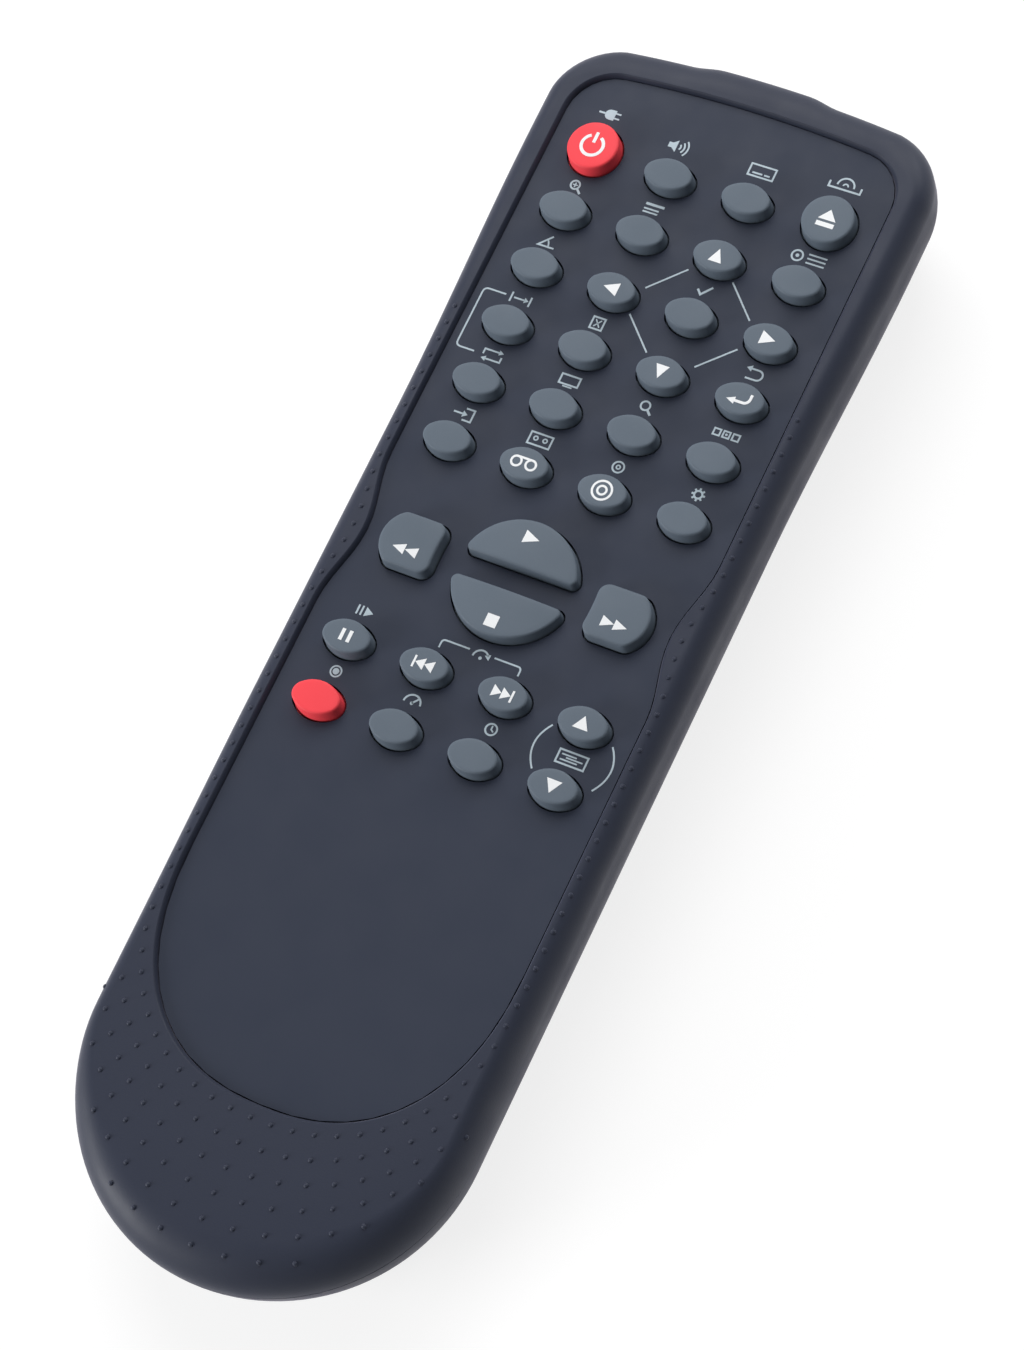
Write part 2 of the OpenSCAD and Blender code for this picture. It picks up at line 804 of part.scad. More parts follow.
module capacitor() {
    color([0.10, 0.12, 0.25])
    translate([col_x(1) - stem_r, row_y(6.5), board_low - capacitor_len])
        cylinder(r = capacitor_r, h = capacitor_len);
}

transistor_r = 2.4;
transistor_len = 4.6;
transistor_flat = 1.4;

module transistor() {
    color([0.07, 0.07, 0.08])
    translate([col_x(2) + stem_r, row_y(0.3), board_low - transistor_len])
        intersection() {
            cylinder(r = transistor_r, h = transistor_len);
            translate([-transistor_r, -transistor_flat, 0])
                cube([2 * transistor_r, transistor_flat + transistor_r, transistor_len]);
        }
}

resistor_r = 1.2;
resistor_len = 6.4;

module resistors() {
    color([0.78, 0.68, 0.50])
    for (x = [col_x(1) - stem_r, col_x(1) + stem_r, col_x(2) + stem_r])
        translate([x, row_y(0.95), board_low - resistor_r])
            rotate([90, 0, 0])
                cylinder(r = resistor_r, h = resistor_len, center = true);
}

lamp_z = board_low - lamp_r - 0.2;
lamp_tip_y = head_y - window_t - 0.3;

module infrared_lamp() {
    color([0.22, 0.16, 0.34])
    translate([0, lamp_tip_y, lamp_z])
        rotate([90, 0, 0]) {
            translate([0, 0, lamp_r])
                cylinder(r = lamp_r, h = lamp_len - lamp_r);
            translate([0, 0, lamp_r])
                sphere(r = lamp_r);
            translate([0, 0, lamp_len - 1])
                cylinder(r = lamp_r + 0.15, h = 1);
        }
}

module lamp_leads() {
    lead = 0.5;
    lead_x = 1.27;
    back_y = lamp_tip_y - lamp_len;
    color([0.80, 0.80, 0.82])
    for (x = [-lead_x, lead_x]) {
        translate([x - lead / 2, back_y - 3, lamp_z - lead / 2])
            cube([lead, 3, lead]);
        translate([x - lead / 2, back_y - 3, lamp_z - lead / 2])
            cube([lead, lead, board_low - lamp_z + lead / 2]);
    }
}

// ---- battery bay ----

// A cell that lies along Y with its button at the head end
module cell() {
    button_len = 1.3;
    rotate([90, 0, 0]) {
        cylinder(r = cell_r * 0.38, h = button_len + 0.1);
        translate([0, 0, button_len])
            cylinder(r = cell_r, h = cell_len - button_len);
    }
}

module cell_left() {
    color([0.15, 0.30, 0.20])
    translate([-cell_x, bay_top_y - contact_t - contact_lip, cell_z])
        cell();
}

module cell_right() {
    color([0.15, 0.30, 0.20])
    translate([cell_x, bay_low_y + contact_t + contact_lip, cell_z])
        rotate([0, 0, 180])
            cell();
}

// A conical coil between a contact plate and a cell, along -Y from the plate
module coil() {
    turns = 8;
    end_gap = 0.05;
    step = (coil_len - 2 * wire_r - 2 * end_gap) / (turns - 1);
    rotate([90, 0, 0])
        rotate_extrude()
            for (i = [0:turns - 1])
                translate([cell_r * 0.68 - i * 0.25, end_gap + wire_r + i * step])
                    circle(r = wire_r, $fn = 24);
}

plate_low_z = end_wall_z + 0.2;
contact_h = bay_top_z - plate_low_z;
contact_half_w = cell_r * 0.75;

module coil_contacts() {
    color([0.80, 0.81, 0.83]) {
        translate([cell_x, bay_top_y - contact_t, cell_z])
            coil();
        translate([cell_x - contact_half_w, bay_top_y - contact_t, plate_low_z])
            cube([2 * contact_half_w, contact_t, contact_h]);
        translate([-cell_x, bay_low_y + contact_t, cell_z])
            rotate([0, 0, 180])
                coil();
    }
}

module button_contacts() {
    color([0.80, 0.81, 0.83]) {
        translate([-cell_x - contact_half_w, bay_top_y - contact_t, plate_low_z])
            cube([2 * contact_half_w, contact_t, contact_h]);
        translate([-cell_x, bay_top_y - contact_t + 0.1, cell_z])
            rotate([90, 0, 0])
                cylinder(r = 2, h = contact_lip + 0.1);
        translate([cell_x, bay_low_y + contact_t, cell_z])
            rotate([-90, 0, 0])
                cylinder(r = 2, h = contact_lip);
    }
}

module bridge_plate() {
    color([0.80, 0.81, 0.83])
    translate([-cell_x - contact_half_w, bay_low_y, plate_low_z])
        cube([2 * (cell_x + contact_half_w), contact_t, contact_h]);
}

// Two flat leads from the contact plates over the end wall of the bay to the board
module supply_wires() {
    lead_w = 0.8;
    lead_t = board_low - bay_top_z - 0.1;
    board_lap = 4;
    lead_len = board_low_y + board_lap - bay_top_y + contact_t;
    color([0.60, 0.10, 0.10])
    for (s = [-1, 1])
        translate([s * (cell_x + 2) - lead_w / 2, bay_top_y - contact_t, bay_top_z]) {
            cube([lead_w, lead_len, lead_t]);
            translate([0, lead_len - lead_w, 0])
                cube([lead_w, lead_w, board_low - bay_top_z]);
        }
}

groove_count = 5;
groove_pitch = 2.2;
groove_size = [18, 1, 0.4];
groove_margin = 5;
rib_margin = 14;
rib_w = 1.2;

module battery_door() {
    y0 = hole_low_y + door_gap;
    y1 = hole_top_y - door_gap;
    color([0.23, 0.24, 0.28]) {
        difference() {
            linear_extrude(height = door_t)
                rounded_rect(-door_half_w, y0, door_half_w, y1, door_corner_r);
            for (i = [0:groove_count - 1])
                translate([-groove_size[0] / 2, y1 - groove_margin - i * groove_pitch, -1])
                    cube(groove_size + [0, 0, 1]);
        }
        for (y = [y0 + rib_margin, (y0 + y1) / 2, y1 - rib_margin])
            translate([-door_half_w + 3, y - rib_w / 2, door_t - 0.1])
                cube([2 * door_half_w - 6, rib_w, door_rib + 0.1]);
        for (s = [-1, 1]) {
            translate([s * tab_x - tab_w / 2, y0 + 0.2, door_t - 0.1])
                cube([tab_w, 1.4, tab_z + tab_t - door_t + 0.1]);
            translate([s * tab_x - tab_w / 2, y0 - tab_len, tab_z])
                cube([tab_w, tab_len + 1, tab_t]);
        }
    }
}

module case_screws() {
    color([0.70, 0.71, 0.73])
    for (s = [-1, 1])
        translate([s * screw_x, screw_y, seat_z - screw_head_t])
            difference() {
                union() {
                    cylinder(r = screw_head_r, h = screw_head_t);
                    cylinder(r = screw_r, h = screw_tip - seat_z + screw_head_t);
                }
                for (a = [0, 90])
                    rotate([0, 0, a])
                        translate([-slot_len / 2, -slot_w / 2, -1])
                            cube([slot_len, slot_w, slot_depth + 1]);
            }
}

top_case();
bottom_case();
face_plate();
battery_door();
keypad_mat();
circuit_board();
contact_pads();
control_chip();
chip_legs();
resonator();
capacitor();
transistor();
resistors();
infrared_lamp();
lamp_leads();
lamp_window();
cell_left();
cell_right();
coil_contacts();
button_contacts();
bridge_plate();
supply_wires();
case_screws();
for (k = ROUND_KEYS)
    round_key(k);
for (k = OVAL_KEYS)
    oval_key(k);
for (k = HALF_KEYS)
    half_key(k);
for (k = WING_KEYS)
    wing_key(k);
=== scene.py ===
"""The looks of a hand-held infrared remote control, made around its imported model.

Lengths in this script are millimetres in the model's own frame: x to the right, y towards the
infrared end, z up out of the keys. A mesh is turned into metres when its piece is finished.
"""
import math

import bmesh
import bpy
from mathutils import Matrix, Vector
from mathutils.geometry import intersect_point_line


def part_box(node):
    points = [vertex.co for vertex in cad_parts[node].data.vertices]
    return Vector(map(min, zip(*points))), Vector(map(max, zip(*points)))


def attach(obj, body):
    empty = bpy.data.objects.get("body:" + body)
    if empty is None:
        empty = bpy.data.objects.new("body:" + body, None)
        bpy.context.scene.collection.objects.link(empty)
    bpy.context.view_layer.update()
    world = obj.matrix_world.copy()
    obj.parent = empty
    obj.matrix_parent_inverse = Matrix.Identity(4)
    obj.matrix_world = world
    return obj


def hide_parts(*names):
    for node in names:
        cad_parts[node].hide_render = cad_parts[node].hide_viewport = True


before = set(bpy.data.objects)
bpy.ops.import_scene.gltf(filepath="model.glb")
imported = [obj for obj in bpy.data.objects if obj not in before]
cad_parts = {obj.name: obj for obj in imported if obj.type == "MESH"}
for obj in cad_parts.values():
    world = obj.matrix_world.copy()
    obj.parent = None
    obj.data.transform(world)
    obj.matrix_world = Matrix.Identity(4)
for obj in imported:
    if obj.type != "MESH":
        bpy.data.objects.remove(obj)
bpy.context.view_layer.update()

MM = 0.001

# ---- sizes of the model that the looks are fitted to ----

CASE_LEN, GRIP_W, HEAD_W = 196.0, 60.2, 62.6
RIM_Z, PARTING_Z, WALL = 22.1, 15.5, 1.8
HEAD_CORNER_R, HEAD_BOW_R = 11.0, 210.0
WINDOW_BULGE, BULGE_HALF_W, BULGE_FADE = 0.6, 9.5, 5.0
TAPER_LEN, TAPER_STOP = 50.0, 18.0
SHOULDER_W, SHOULDER_H, PALM_ROUND, HEAD_ROUND = 2.8, 4.0, 3.8, 2.2
PALM_DEEP, DEEPENING_LEN, FOOT_REACH = 2.5, 50.0, 10.2
FLOOR_T = WALL + 0.1

PLATE_W, PLATE_T, PLATE_DROP = 53.3, 1.5, 0.8
PLATE_HEAD_MARGIN, PLATE_PALM_MARGIN = 6.4, 25.3
PLATE_CORNER_R, PLATE_ROUND_LEN, PLATE_END_POWER = 7.5, 30.9, 2 / 2.35
WAIST_DEPTH, WAIST_HALF, RIM_SLOPE = 2.1, 12.6, 0.35
LEDGE_W, LEDGE_T = 1.0, 1.3

COL_PITCH, ROW_PITCH, TOP_ROW_MARGIN = 12.7, 10.0, 14.5
KEY_GAP, KEY_RISE, KEY_DOME_R = 0.35, 2.2, 80.0
FLANGE_W, FLANGE_T, FLANGE_PLAY = 0.7, 1.0, 0.3
STEM_R, PILL_T, PILL_LIFT = 2.1, 0.4, 1.25

HEAD_Y, PALM_Y = CASE_LEN / 2, -CASE_LEN / 2
BOW_Y = HEAD_Y - WINDOW_BULGE
PLATE_TOP_Y = HEAD_Y - PLATE_HEAD_MARGIN
PLATE_LOW_Y = PALM_Y + PLATE_PALM_MARGIN
PLATE_Z = RIM_Z - PLATE_DROP
PLATE_UNDER = PLATE_Z - PLATE_T
FLANGE_LOW = PLATE_UNDER - FLANGE_PLAY - FLANGE_T
KEY_TOP = PLATE_Z + KEY_RISE
PILL_LOW, PILL_R = PARTING_Z + PILL_LIFT, STEM_R - 0.2

ROW_0 = PLATE_TOP_Y - TOP_ROW_MARGIN
BIG_ROW, LOWER_ROW = 6.68, 8.34
BIG_Y = ROW_0 - BIG_ROW * ROW_PITCH
OVAL_W, OVAL_HALF_H, OVAL_END_R = 7.8, 2.7, 1.9
ROUND_R, ROUND_X, ROUND_Y = 4.05, 19.2, ROW_0 + 0.8
PLAY_R, PLAY_CY, HALF_CORNER_R = 9.35, 1.85, 1.0
PLAY_STEM_Y = PLAY_CY + PLAY_R * 0.36
WING_X, WING_W, WING_H, WING_R, WING_CORNER_R = 12.15, 9.5, 8.5, 5.0, 1.7
WING_HOLLOW, WING_HOLLOW_R = 0.3, 28.0
WING_CX = WING_X + WING_W / 2

SCREW_X, SCREW_Y, SCREW_POST_R, SCREW_R = 8.0, PALM_Y + 13.3, 3.1, 0.95
SCREW_HEAD_R, BOSS_ROOF_T = 2.3, 2.1
SEAT_Z, POST_TOP, BOSS_TOP = PARTING_Z - 6, PARTING_Z - 2, RIM_Z - 1.5
WINDOW_HALF_W, WINDOW_LOW, WINDOW_HIGH = 8.0, 8.5, 17.0

CELL_R, CELL_X, CELL_Z, CELL_LEN, GOLD_LEN = 7.25, 7.55, 9.55, 50.5, 14
BAY_HALF_W, BAY_TOP_Y, BAY_LOW_Y, BAY_WALL, BAY_TOP_Z = 15.4, -23.8, -80.4, 1.4, 13.4
HOLE_HALF_W, HOLE_TOP_Y, HOLE_LOW_Y = 16.85, -22.6, -79.2
TAB_Z = FLOOR_T + 0.35
END_WALL_Z = TAB_Z + 2.8
POST_X, POST_R, BOARD_LOW = 15.0, 2.0, 14.0
POST_YS = (81.5, 52.1, 22.1, -17.9)


def col_x(c):
    return (c - 1.5) * COL_PITCH


def row_y(r):
    return ROW_0 - r * ROW_PITCH


# ---- outlines ----

def smooth_step(t):
    """0 below 0, 1 above 1, and a soft rise between."""
    c = min(max(t, 0.0), 1.0)
    return c * c * (3 - 2 * c)


def run(a, b, n):
    """n even steps from a towards b, without b itself."""
    return [a + (b - a) * i / n for i in range(n)]


def on_arc(cx, cy, r, start, end, n):
    """Points of an arc in degrees, both ends included."""
    turns = [math.radians(start + (end - start) * i / n) for i in range(n + 1)]
    return [(cx + r * math.cos(a), cy + r * math.sin(a)) for a in turns]


def case_half_width(y):
    t = (y - (HEAD_Y - TAPER_STOP - TAPER_LEN)) / TAPER_LEN
    return GRIP_W / 2 + (HEAD_W - GRIP_W) / 2 * smooth_step(t)


def case_edge_y(x):
    bulge = 1 - smooth_step((abs(x) - BULGE_HALF_W + BULGE_FADE / 2) / BULGE_FADE)
    return BOW_Y - x * x / (2 * HEAD_BOW_R) + WINDOW_BULGE * bulge


def waist_at(y):
    """How far the face plate is drawn in, in millimetres."""
    d = min(abs(y - BIG_Y) / WAIST_HALF, 1.0)
    return WAIST_DEPTH * (0.5 + 0.5 * math.cos(math.pi * d))


def plate_half_width(y):
    return PLATE_W / 2 - waist_at(y)


def plate_edge_y(x):
    return PLATE_TOP_Y - x * x / (2 * HEAD_BOW_R)


def side_ys(start, end):
    """Places along a side, closer together where the face plate is drawn in."""
    return (run(start, BIG_Y - WAIST_HALF, 9) + run(BIG_Y - WAIST_HALF, BIG_Y + WAIST_HALF, 30)
            + run(BIG_Y + WAIST_HALF, end, 16))


def head_corner(half_w, edge_y, r, sweep=84):
    """The keypad end of a half outline: its corner, then its bowed edge up to the middle."""
    cx = half_w - r
    cy = edge_y(cx) - r
    corner = on_arc(cx, cy, r, 0, sweep, 14)[:-1]
    edge = [(x, edge_y(x)) for x in run(cx + r * math.cos(math.radians(sweep)), 0, 24)]
    return corner + edge + [(0.0, edge_y(0))]


def whole(half):
    """The ring made of a right half and its mirror image."""
    return half + [(-x, y) for x, y in half[-2:0:-1]]


GRIP_R = GRIP_W / 2
GRIP_CY = PALM_Y + GRIP_R
PLATE_END_CY = PLATE_LOW_Y + PLATE_ROUND_LEN


def plate_end_point(a):
    """A point of the face plate's full round end, at a turn in degrees from its middle."""
    c, s = math.cos(math.radians(a)), -math.sin(math.radians(a))
    return (PLATE_W / 2 * max(c, 0) ** PLATE_END_POWER,
            PLATE_END_CY - PLATE_ROUND_LEN * max(s, 0) ** PLATE_END_POWER)


def side_points(start, end, half_width):
    return [(half_width(y), y) for y in side_ys(start, end)]


head_cy = case_edge_y(HEAD_W / 2 - HEAD_CORNER_R) - HEAD_CORNER_R
plate_cy = plate_edge_y(PLATE_W / 2 - PLATE_CORNER_R) - PLATE_CORNER_R
CASE_RING = whole(on_arc(0, GRIP_CY, GRIP_R, -90, 0, 30)[:-1]
                  + side_points(GRIP_CY, head_cy, case_half_width)
                  + head_corner(HEAD_W / 2, case_edge_y, HEAD_CORNER_R))
PLATE_RING = whole([plate_end_point(a) for a in run(-90, 0, 30)]
                   + side_points(PLATE_END_CY, plate_cy, plate_half_width)
                   + head_corner(PLATE_W / 2, plate_edge_y, PLATE_CORNER_R))


def inset(ring, depth):
    """The ring moved inwards along its normals, by one depth or by a depth at each point."""
    n = len(ring)
    depths = depth if isinstance(depth, list) else [depth] * n
    moved = []
    for i, (x, y) in enumerate(ring):
        tx = ring[(i + 1) % n][0] - ring[i - 1][0]
        ty = ring[(i + 1) % n][1] - ring[i - 1][1]
        size = math.hypot(tx, ty)
        moved.append((x - depths[i] * ty / size, y + depths[i] * tx / size))
    return moved


def lifted(ring, z):
    """The ring at a height, or at a height for each point."""
    heights = z if isinstance(z, list) else [z] * len(ring)
    return [(x, y, h) for (x, y), h in zip(ring, heights)]


# ---- finishes ----

COAT_ROUGHNESS, SHEEN_ROUGHNESS = 0.12, 0.35
SHEEN_TINT = (0.86, 0.82, 1.0, 1.0)
SPECK_LIGHT = 1.9


def shade(r, g, b):
    """A colour given as it looks on a screen, 0 to 255."""
    return tuple(c / 12.92 if c <= 0.04045 else ((c + 0.055) / 1.055) ** 2.4
                 for c in (r / 255, g / 255, b / 255)) + (1.0,)


def scaled(colour, k):
    return tuple(min(c * k, 1.0) for c in colour[:3]) + (1.0,)


def node(tree, kind, **values):
    made = tree.nodes.new("ShaderNode" + kind)
    for key, value in values.items():
        if key in made.inputs:
            made.inputs[key].default_value = value
        else:
            setattr(made, key, value)
    return made


def speckle(tree, place, scale, detail=2.0, roughness=0.5):
    noise = node(tree, "TexNoise", Scale=scale, Detail=detail, Roughness=roughness)
    tree.links.new(place.outputs["Object"], noise.inputs["Vector"])
    return noise.outputs["Fac"]


def spread(tree, value, low, high, start=0.3, end=0.7):
    ranged = node(tree, "MapRange")
    for socket, number in zip(("From Min", "From Max", "To Min", "To Max"),
                              (start, end, low, high)):
        ranged.inputs[socket].default_value = number
    tree.links.new(value, ranged.inputs["Value"])
    return ranged.outputs["Result"]


def blended(tree, amount, first, second):
    mix = node(tree, "Mix", data_type="RGBA")
    tree.links.new(amount, mix.inputs["Factor"])
    for socket, colour in ((mix.inputs["A"], first), (mix.inputs["B"], second)):
        if isinstance(colour, tuple):
            socket.default_value = colour
        else:
            tree.links.new(colour, socket)
    return mix.outputs["Result"]


def finish(name, colour, roughness, grain_scale=2600.0, grain_depth=0.012, mottle=0.05,
           cloud_scale=45.0, metallic=0.0, spec=0.5, coat=0.0, rough_swing=0.06, sheen=0.0):
    """Moulded or plated stock: broad tone changes, fine speckle, uneven gloss and a grain.
    grain_depth is the height of the grain in millimetres."""
    mat = bpy.data.materials.new(name)
    mat.use_nodes = True
    tree = mat.node_tree
    shader = tree.nodes["Principled BSDF"]
    place = node(tree, "TexCoord")
    cloud = spread(tree, speckle(tree, place, cloud_scale, 3.0), 0.0, 1.0)
    tone = blended(tree, cloud, scaled(colour, 1 - mottle), scaled(colour, 1 + mottle))
    grain = speckle(tree, place, grain_scale, 3.0, 0.6)
    dust = spread(tree, grain, 0.0, 0.5 * mottle + 0.02, 0.45, 0.75)
    tone = blended(tree, dust, tone, scaled(colour, SPECK_LIGHT))
    tree.links.new(tone, shader.inputs["Base Color"])
    worn = speckle(tree, place, cloud_scale * 3.1, 4.0)
    tree.links.new(spread(tree, worn, roughness - rough_swing, roughness + rough_swing),
                   shader.inputs["Roughness"])
    bump = node(tree, "Bump", Strength=1.0, Distance=grain_depth * MM)
    tree.links.new(grain, bump.inputs["Height"])
    tree.links.new(bump.outputs["Normal"], shader.inputs["Normal"])
    shader.inputs["Metallic"].default_value = metallic
    shader.inputs["Specular IOR Level"].default_value = spec
    shader.inputs["Coat Weight"].default_value = coat
    shader.inputs["Coat Roughness"].default_value = COAT_ROUGHNESS
    shader.inputs["Sheen Weight"].default_value = sheen
    shader.inputs["Sheen Roughness"].default_value = SHEEN_ROUGHNESS
    shader.inputs["Sheen Tint"].default_value = SHEEN_TINT
    mat.diffuse_color = colour
    return mat


case_plastic = finish("case_plastic", shade(43, 48, 63), 0.5, 3600, 0.014, 0.03, spec=0.2,
                      sheen=0.2)
lower_plastic = finish("lower_plastic", shade(41, 45, 59), 0.54, 3600, 0.016, 0.03, spec=0.2,
                       sheen=0.2)
plate_plastic = finish("plate_plastic", shade(44, 50, 65), 0.55, 4200, 0.006, 0.015, spec=0.2)
grey_rubber = finish("grey_rubber", shade(93, 104, 116), 0.62, 4200, 0.008, 0.025, spec=0.3)
red_rubber = finish("red_rubber", shade(255, 72, 82), 0.6, 4200, 0.006, 0.02, spec=0.3)
white_ink = finish("white_ink", shade(242, 244, 246), 0.5, 4200, 0.004, 0.02)
label_ink = finish("label_ink", shade(178, 194, 204), 0.55, 4200, 0.004, 0.04)
window_plastic = finish("window_plastic", shade(24, 20, 30), 0.12, 900, 0.002, 0.08, coat=0.5)
mat_rubber = finish("mat_rubber", shade(74, 76, 80), 0.7, 2200, 0.02, 0.06)
board_laminate = finish("board_laminate", shade(150, 112, 58), 0.5, 1500, 0.01, 0.10)
carbon_ink = finish("carbon_ink", shade(22, 22, 24), 0.75, 3000, 0.02, 0.15)
chip_plastic = finish("chip_plastic", shade(26, 26, 29), 0.55, 2600, 0.012, 0.10)
tinned_metal = finish("tinned_metal", shade(196, 198, 203), 0.28, 1800, 0.006, 0.05, metallic=1.0)
contact_metal = finish("contact_metal", shade(206, 208, 210), 0.24, 1400, 0.004, 0.04, metallic=1.0)
screw_steel = finish("screw_steel", shade(176, 178, 182), 0.32, 1600, 0.01, 0.08, metallic=1.0)
orange_ceramic = finish("orange_ceramic", shade(214, 132, 42), 0.3, 1600, 0.006, 0.08, coat=0.3)
sleeve_plastic = finish("sleeve_plastic", shade(30, 34, 66), 0.3, 1500, 0.004, 0.08, coat=0.2)
resistor_lacquer = finish("resistor_lacquer", shade(198, 170, 120), 0.4, 1800, 0.008, 0.08)
lamp_epoxy = finish("lamp_epoxy", shade(58, 44, 92), 0.08, 1200, 0.002, 0.06, coat=0.6)
wire_sleeve = finish("wire_sleeve", shade(150, 30, 32), 0.45, 1800, 0.006, 0.06)
cell_green = finish("cell_green", shade(30, 74, 52), 0.3, 1600, 0.003, 0.05, coat=0.25)
cell_gold = finish("cell_gold", shade(196, 152, 70), 0.26, 1600, 0.003, 0.05, metallic=0.8)
cell_steel = finish("cell_steel", shade(200, 200, 204), 0.25, 1600, 0.004, 0.05, metallic=1.0)


# ---- making pieces ----

def linked(name, data):
    """An object of a mesh, a lamp or a camera, put in the scene."""
    obj = bpy.data.objects.new(name, data)
    bpy.context.scene.collection.objects.link(obj)
    return obj


def mesh_from(bm, name):
    """A mesh made of a bmesh, which is freed."""
    mesh = bpy.data.meshes.new(name)
    bm.to_mesh(mesh)
    bm.free()
    return mesh


def piece(name, bm, finishes, body, stands_for=(), sharp=32.0, turned_out=True):
    """Finishes a mesh: outward faces, metres, soft shading but for edges sharper than sharp."""
    if turned_out:
        bmesh.ops.recalc_face_normals(bm, faces=bm.faces)
    bmesh.ops.scale(bm, vec=(MM, MM, MM), verts=bm.verts)
    for face in bm.faces:
        face.smooth = True
    for edge in bm.edges:
        edge.smooth = len(edge.link_faces) == 2 and edge.calc_face_angle(0) < math.radians(sharp)
    mesh = mesh_from(bm, name)
    for stray in ("custom_normal", "UVMap"):
        if stray in mesh.attributes:
            mesh.attributes.remove(mesh.attributes[stray])
    obj = linked(name, mesh)
    for made in finishes if isinstance(finishes, (list, tuple)) else [finishes]:
        mesh.materials.append(made)
    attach(obj, body)
    if stands_for:
        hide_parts(*stands_for)
    return obj


BIG_FACE_WEIGHT = 80


def evened(obj):
    """Shades big flat faces flat although the edges beside them are soft."""
    weighted = obj.modifiers.new("even_shading", "WEIGHTED_NORMAL")
    weighted.keep_sharp = True
    weighted.weight = BIG_FACE_WEIGHT
    return obj


def raised(bm, rings):
    """A skin through rings of equal length: the first ring's edges are extruded ring by ring."""
    row = [bm.verts.new(point) for point in rings[0]]
    n = len(row)
    edges = [bm.edges.new((row[i], row[(i + 1) % n])) for i in range(n)]
    first = list(row)
    for ring in rings[1:]:
        made = bmesh.ops.extrude_edge_only(bm, edges=edges)["geom"]
        places = {v.co.to_tuple(6): v for v in made if isinstance(v, bmesh.types.BMVert)}
        row = [places[v.co.to_tuple(6)] for v in row]
        edges = [bm.edges.get((row[i], row[(i + 1) % n])) for i in range(n)]
        for vert, point in zip(row, ring):
            vert.co = point
    return first, row


def closed_skin(bm, rings):
    """The same skin closed at both ends; gives the face over the last ring."""
    first, last = raised(bm, rings)
    bm.faces.new(first)
    return bm.faces.new(last)


def box_mesh(low, high):
    bm = bmesh.new()
    bmesh.ops.create_cube(bm, size=1.0)
    centre = [(a + b) / 2 for a, b in zip(low, high)]
    bmesh.ops.scale(bm, vec=[b - a for a, b in zip(low, high)], verts=bm.verts)
    bmesh.ops.translate(bm, vec=centre, verts=bm.verts)
    return bm


def rod_mesh(x, y, low, high, r, sides=48):
    bm = bmesh.new()
    bmesh.ops.create_cone(bm, cap_ends=True, segments=sides, radius1=r, radius2=r,
                          depth=high - low)
    bmesh.ops.translate(bm, vec=(x, y, (low + high) / 2), verts=bm.verts)
    return bm


def combined(bm, tool, operation):
    """The mesh cut by a tool (DIFFERENCE) or joined with it (UNION)."""
    made = [linked("part", mesh_from(part, "part")) for part in (bm, tool)]
    boolean = made[0].modifiers.new("join", "BOOLEAN")
    boolean.object, boolean.operation, boolean.solver = made[1], operation, "EXACT"
    result = bmesh.new()
    result.from_object(made[0], bpy.context.evaluated_depsgraph_get())
    for obj in made:
        mesh = obj.data
        bpy.data.objects.remove(obj)
        bpy.data.meshes.remove(mesh)
    return result


# ---- upper case half ----

def palm_share(y):
    """0 along the sides, rising to 1 at the tip of the palm end."""
    return smooth_step((GRIP_CY - y) / GRIP_R)


def shoulder_width(y):
    head_share = smooth_step((y - head_cy) / HEAD_CORNER_R)
    return SHOULDER_W + PALM_ROUND * palm_share(y) + HEAD_ROUND * head_share


def shoulder_rise(y):
    """Height of the rounded shoulder, which starts lower in the palm end."""
    return SHOULDER_H + PALM_DEEP * smooth_step((GRIP_CY - y) / DEEPENING_LEN + 1)


def edge_room(x, y):
    """How far a place is from the nearest side of the case."""
    if y < GRIP_CY:
        return GRIP_R - math.hypot(x, y - GRIP_CY)
    return case_half_width(y) - abs(x)


CREST = RIM_SLOPE + 0.15
PALM_EDGE = [Vector(p) for p in PLATE_RING[:32]]
LEAST_ROOM, CROWN_START, CROWN_SLOPE = 1.0, 2.0, 0.04


def crest_room(x, y):
    """How far a place in the palm end is from the crest of the rim round the face plate."""
    place = Vector((abs(x), y))
    gaps = []
    for a, b in zip(PALM_EDGE, PALM_EDGE[1:]):
        t = min(max(intersect_point_line(place, a, b)[1], 0.0), 1.0)
        gaps.append((a.lerp(b, t) - place).length)
    return max(min(gaps) - CREST, 0.0)


def crown(x, y):
    """The rim's width through a place, how far it sinks to the shoulder, and the place's share."""
    if y > PLATE_END_CY:
        return LEAST_ROOM, 0.0, 0.0
    inside = crest_room(x, y)
    room = max(inside + edge_room(x, y) - shoulder_width(y), LEAST_ROOM)
    spare = max(room - CROWN_START, 0.0)
    fall = CROWN_SLOPE * spare * spare / (spare + CROWN_START)
    return room, fall, min(inside / room, 1.0)


def rim_height(x, y):
    """Height of the upper case at a place outside the face plate."""
    room, fall, share = crown(x, y)
    edge, width = edge_room(x, y), shoulder_width(y)
    if edge >= width:
        return RIM_Z - fall * share * share
    return shoulder_height(1 - edge / width, width, shoulder_rise(y), room, fall)


def shoulder_height(c, width, rise, room, fall):
    """Height of the rounded shoulder where it has gone c of its width outwards, 0 to 1."""
    bend = math.sqrt(max(1 - c * c, 0.0))
    return RIM_Z - rise + (rise - fall) * bend - 2 * fall / room * c * width * (1 - c) ** 2


SEAM_LIFT, SEAM_REACH, SEAM_LEAN = 0.01, 0.3, 0.8
SHOULDER_STEPS = 14
RIM_EDGE = ((0.08, 0.05), (-0.02, 0.15), (-0.12, 0.32), (-0.23, 0.55), (-0.35, 0.9))
PLATE_POCKET, SIDE_WALL_T, PALM_WALL_T = 0.9, 1.3, 4.0


def seam_depths(least):
    """How deep the hairline between the case halves is cut, most at the tip of the palm end."""
    return [least + 0.2 * palm_share(y) for x, y in CASE_RING]


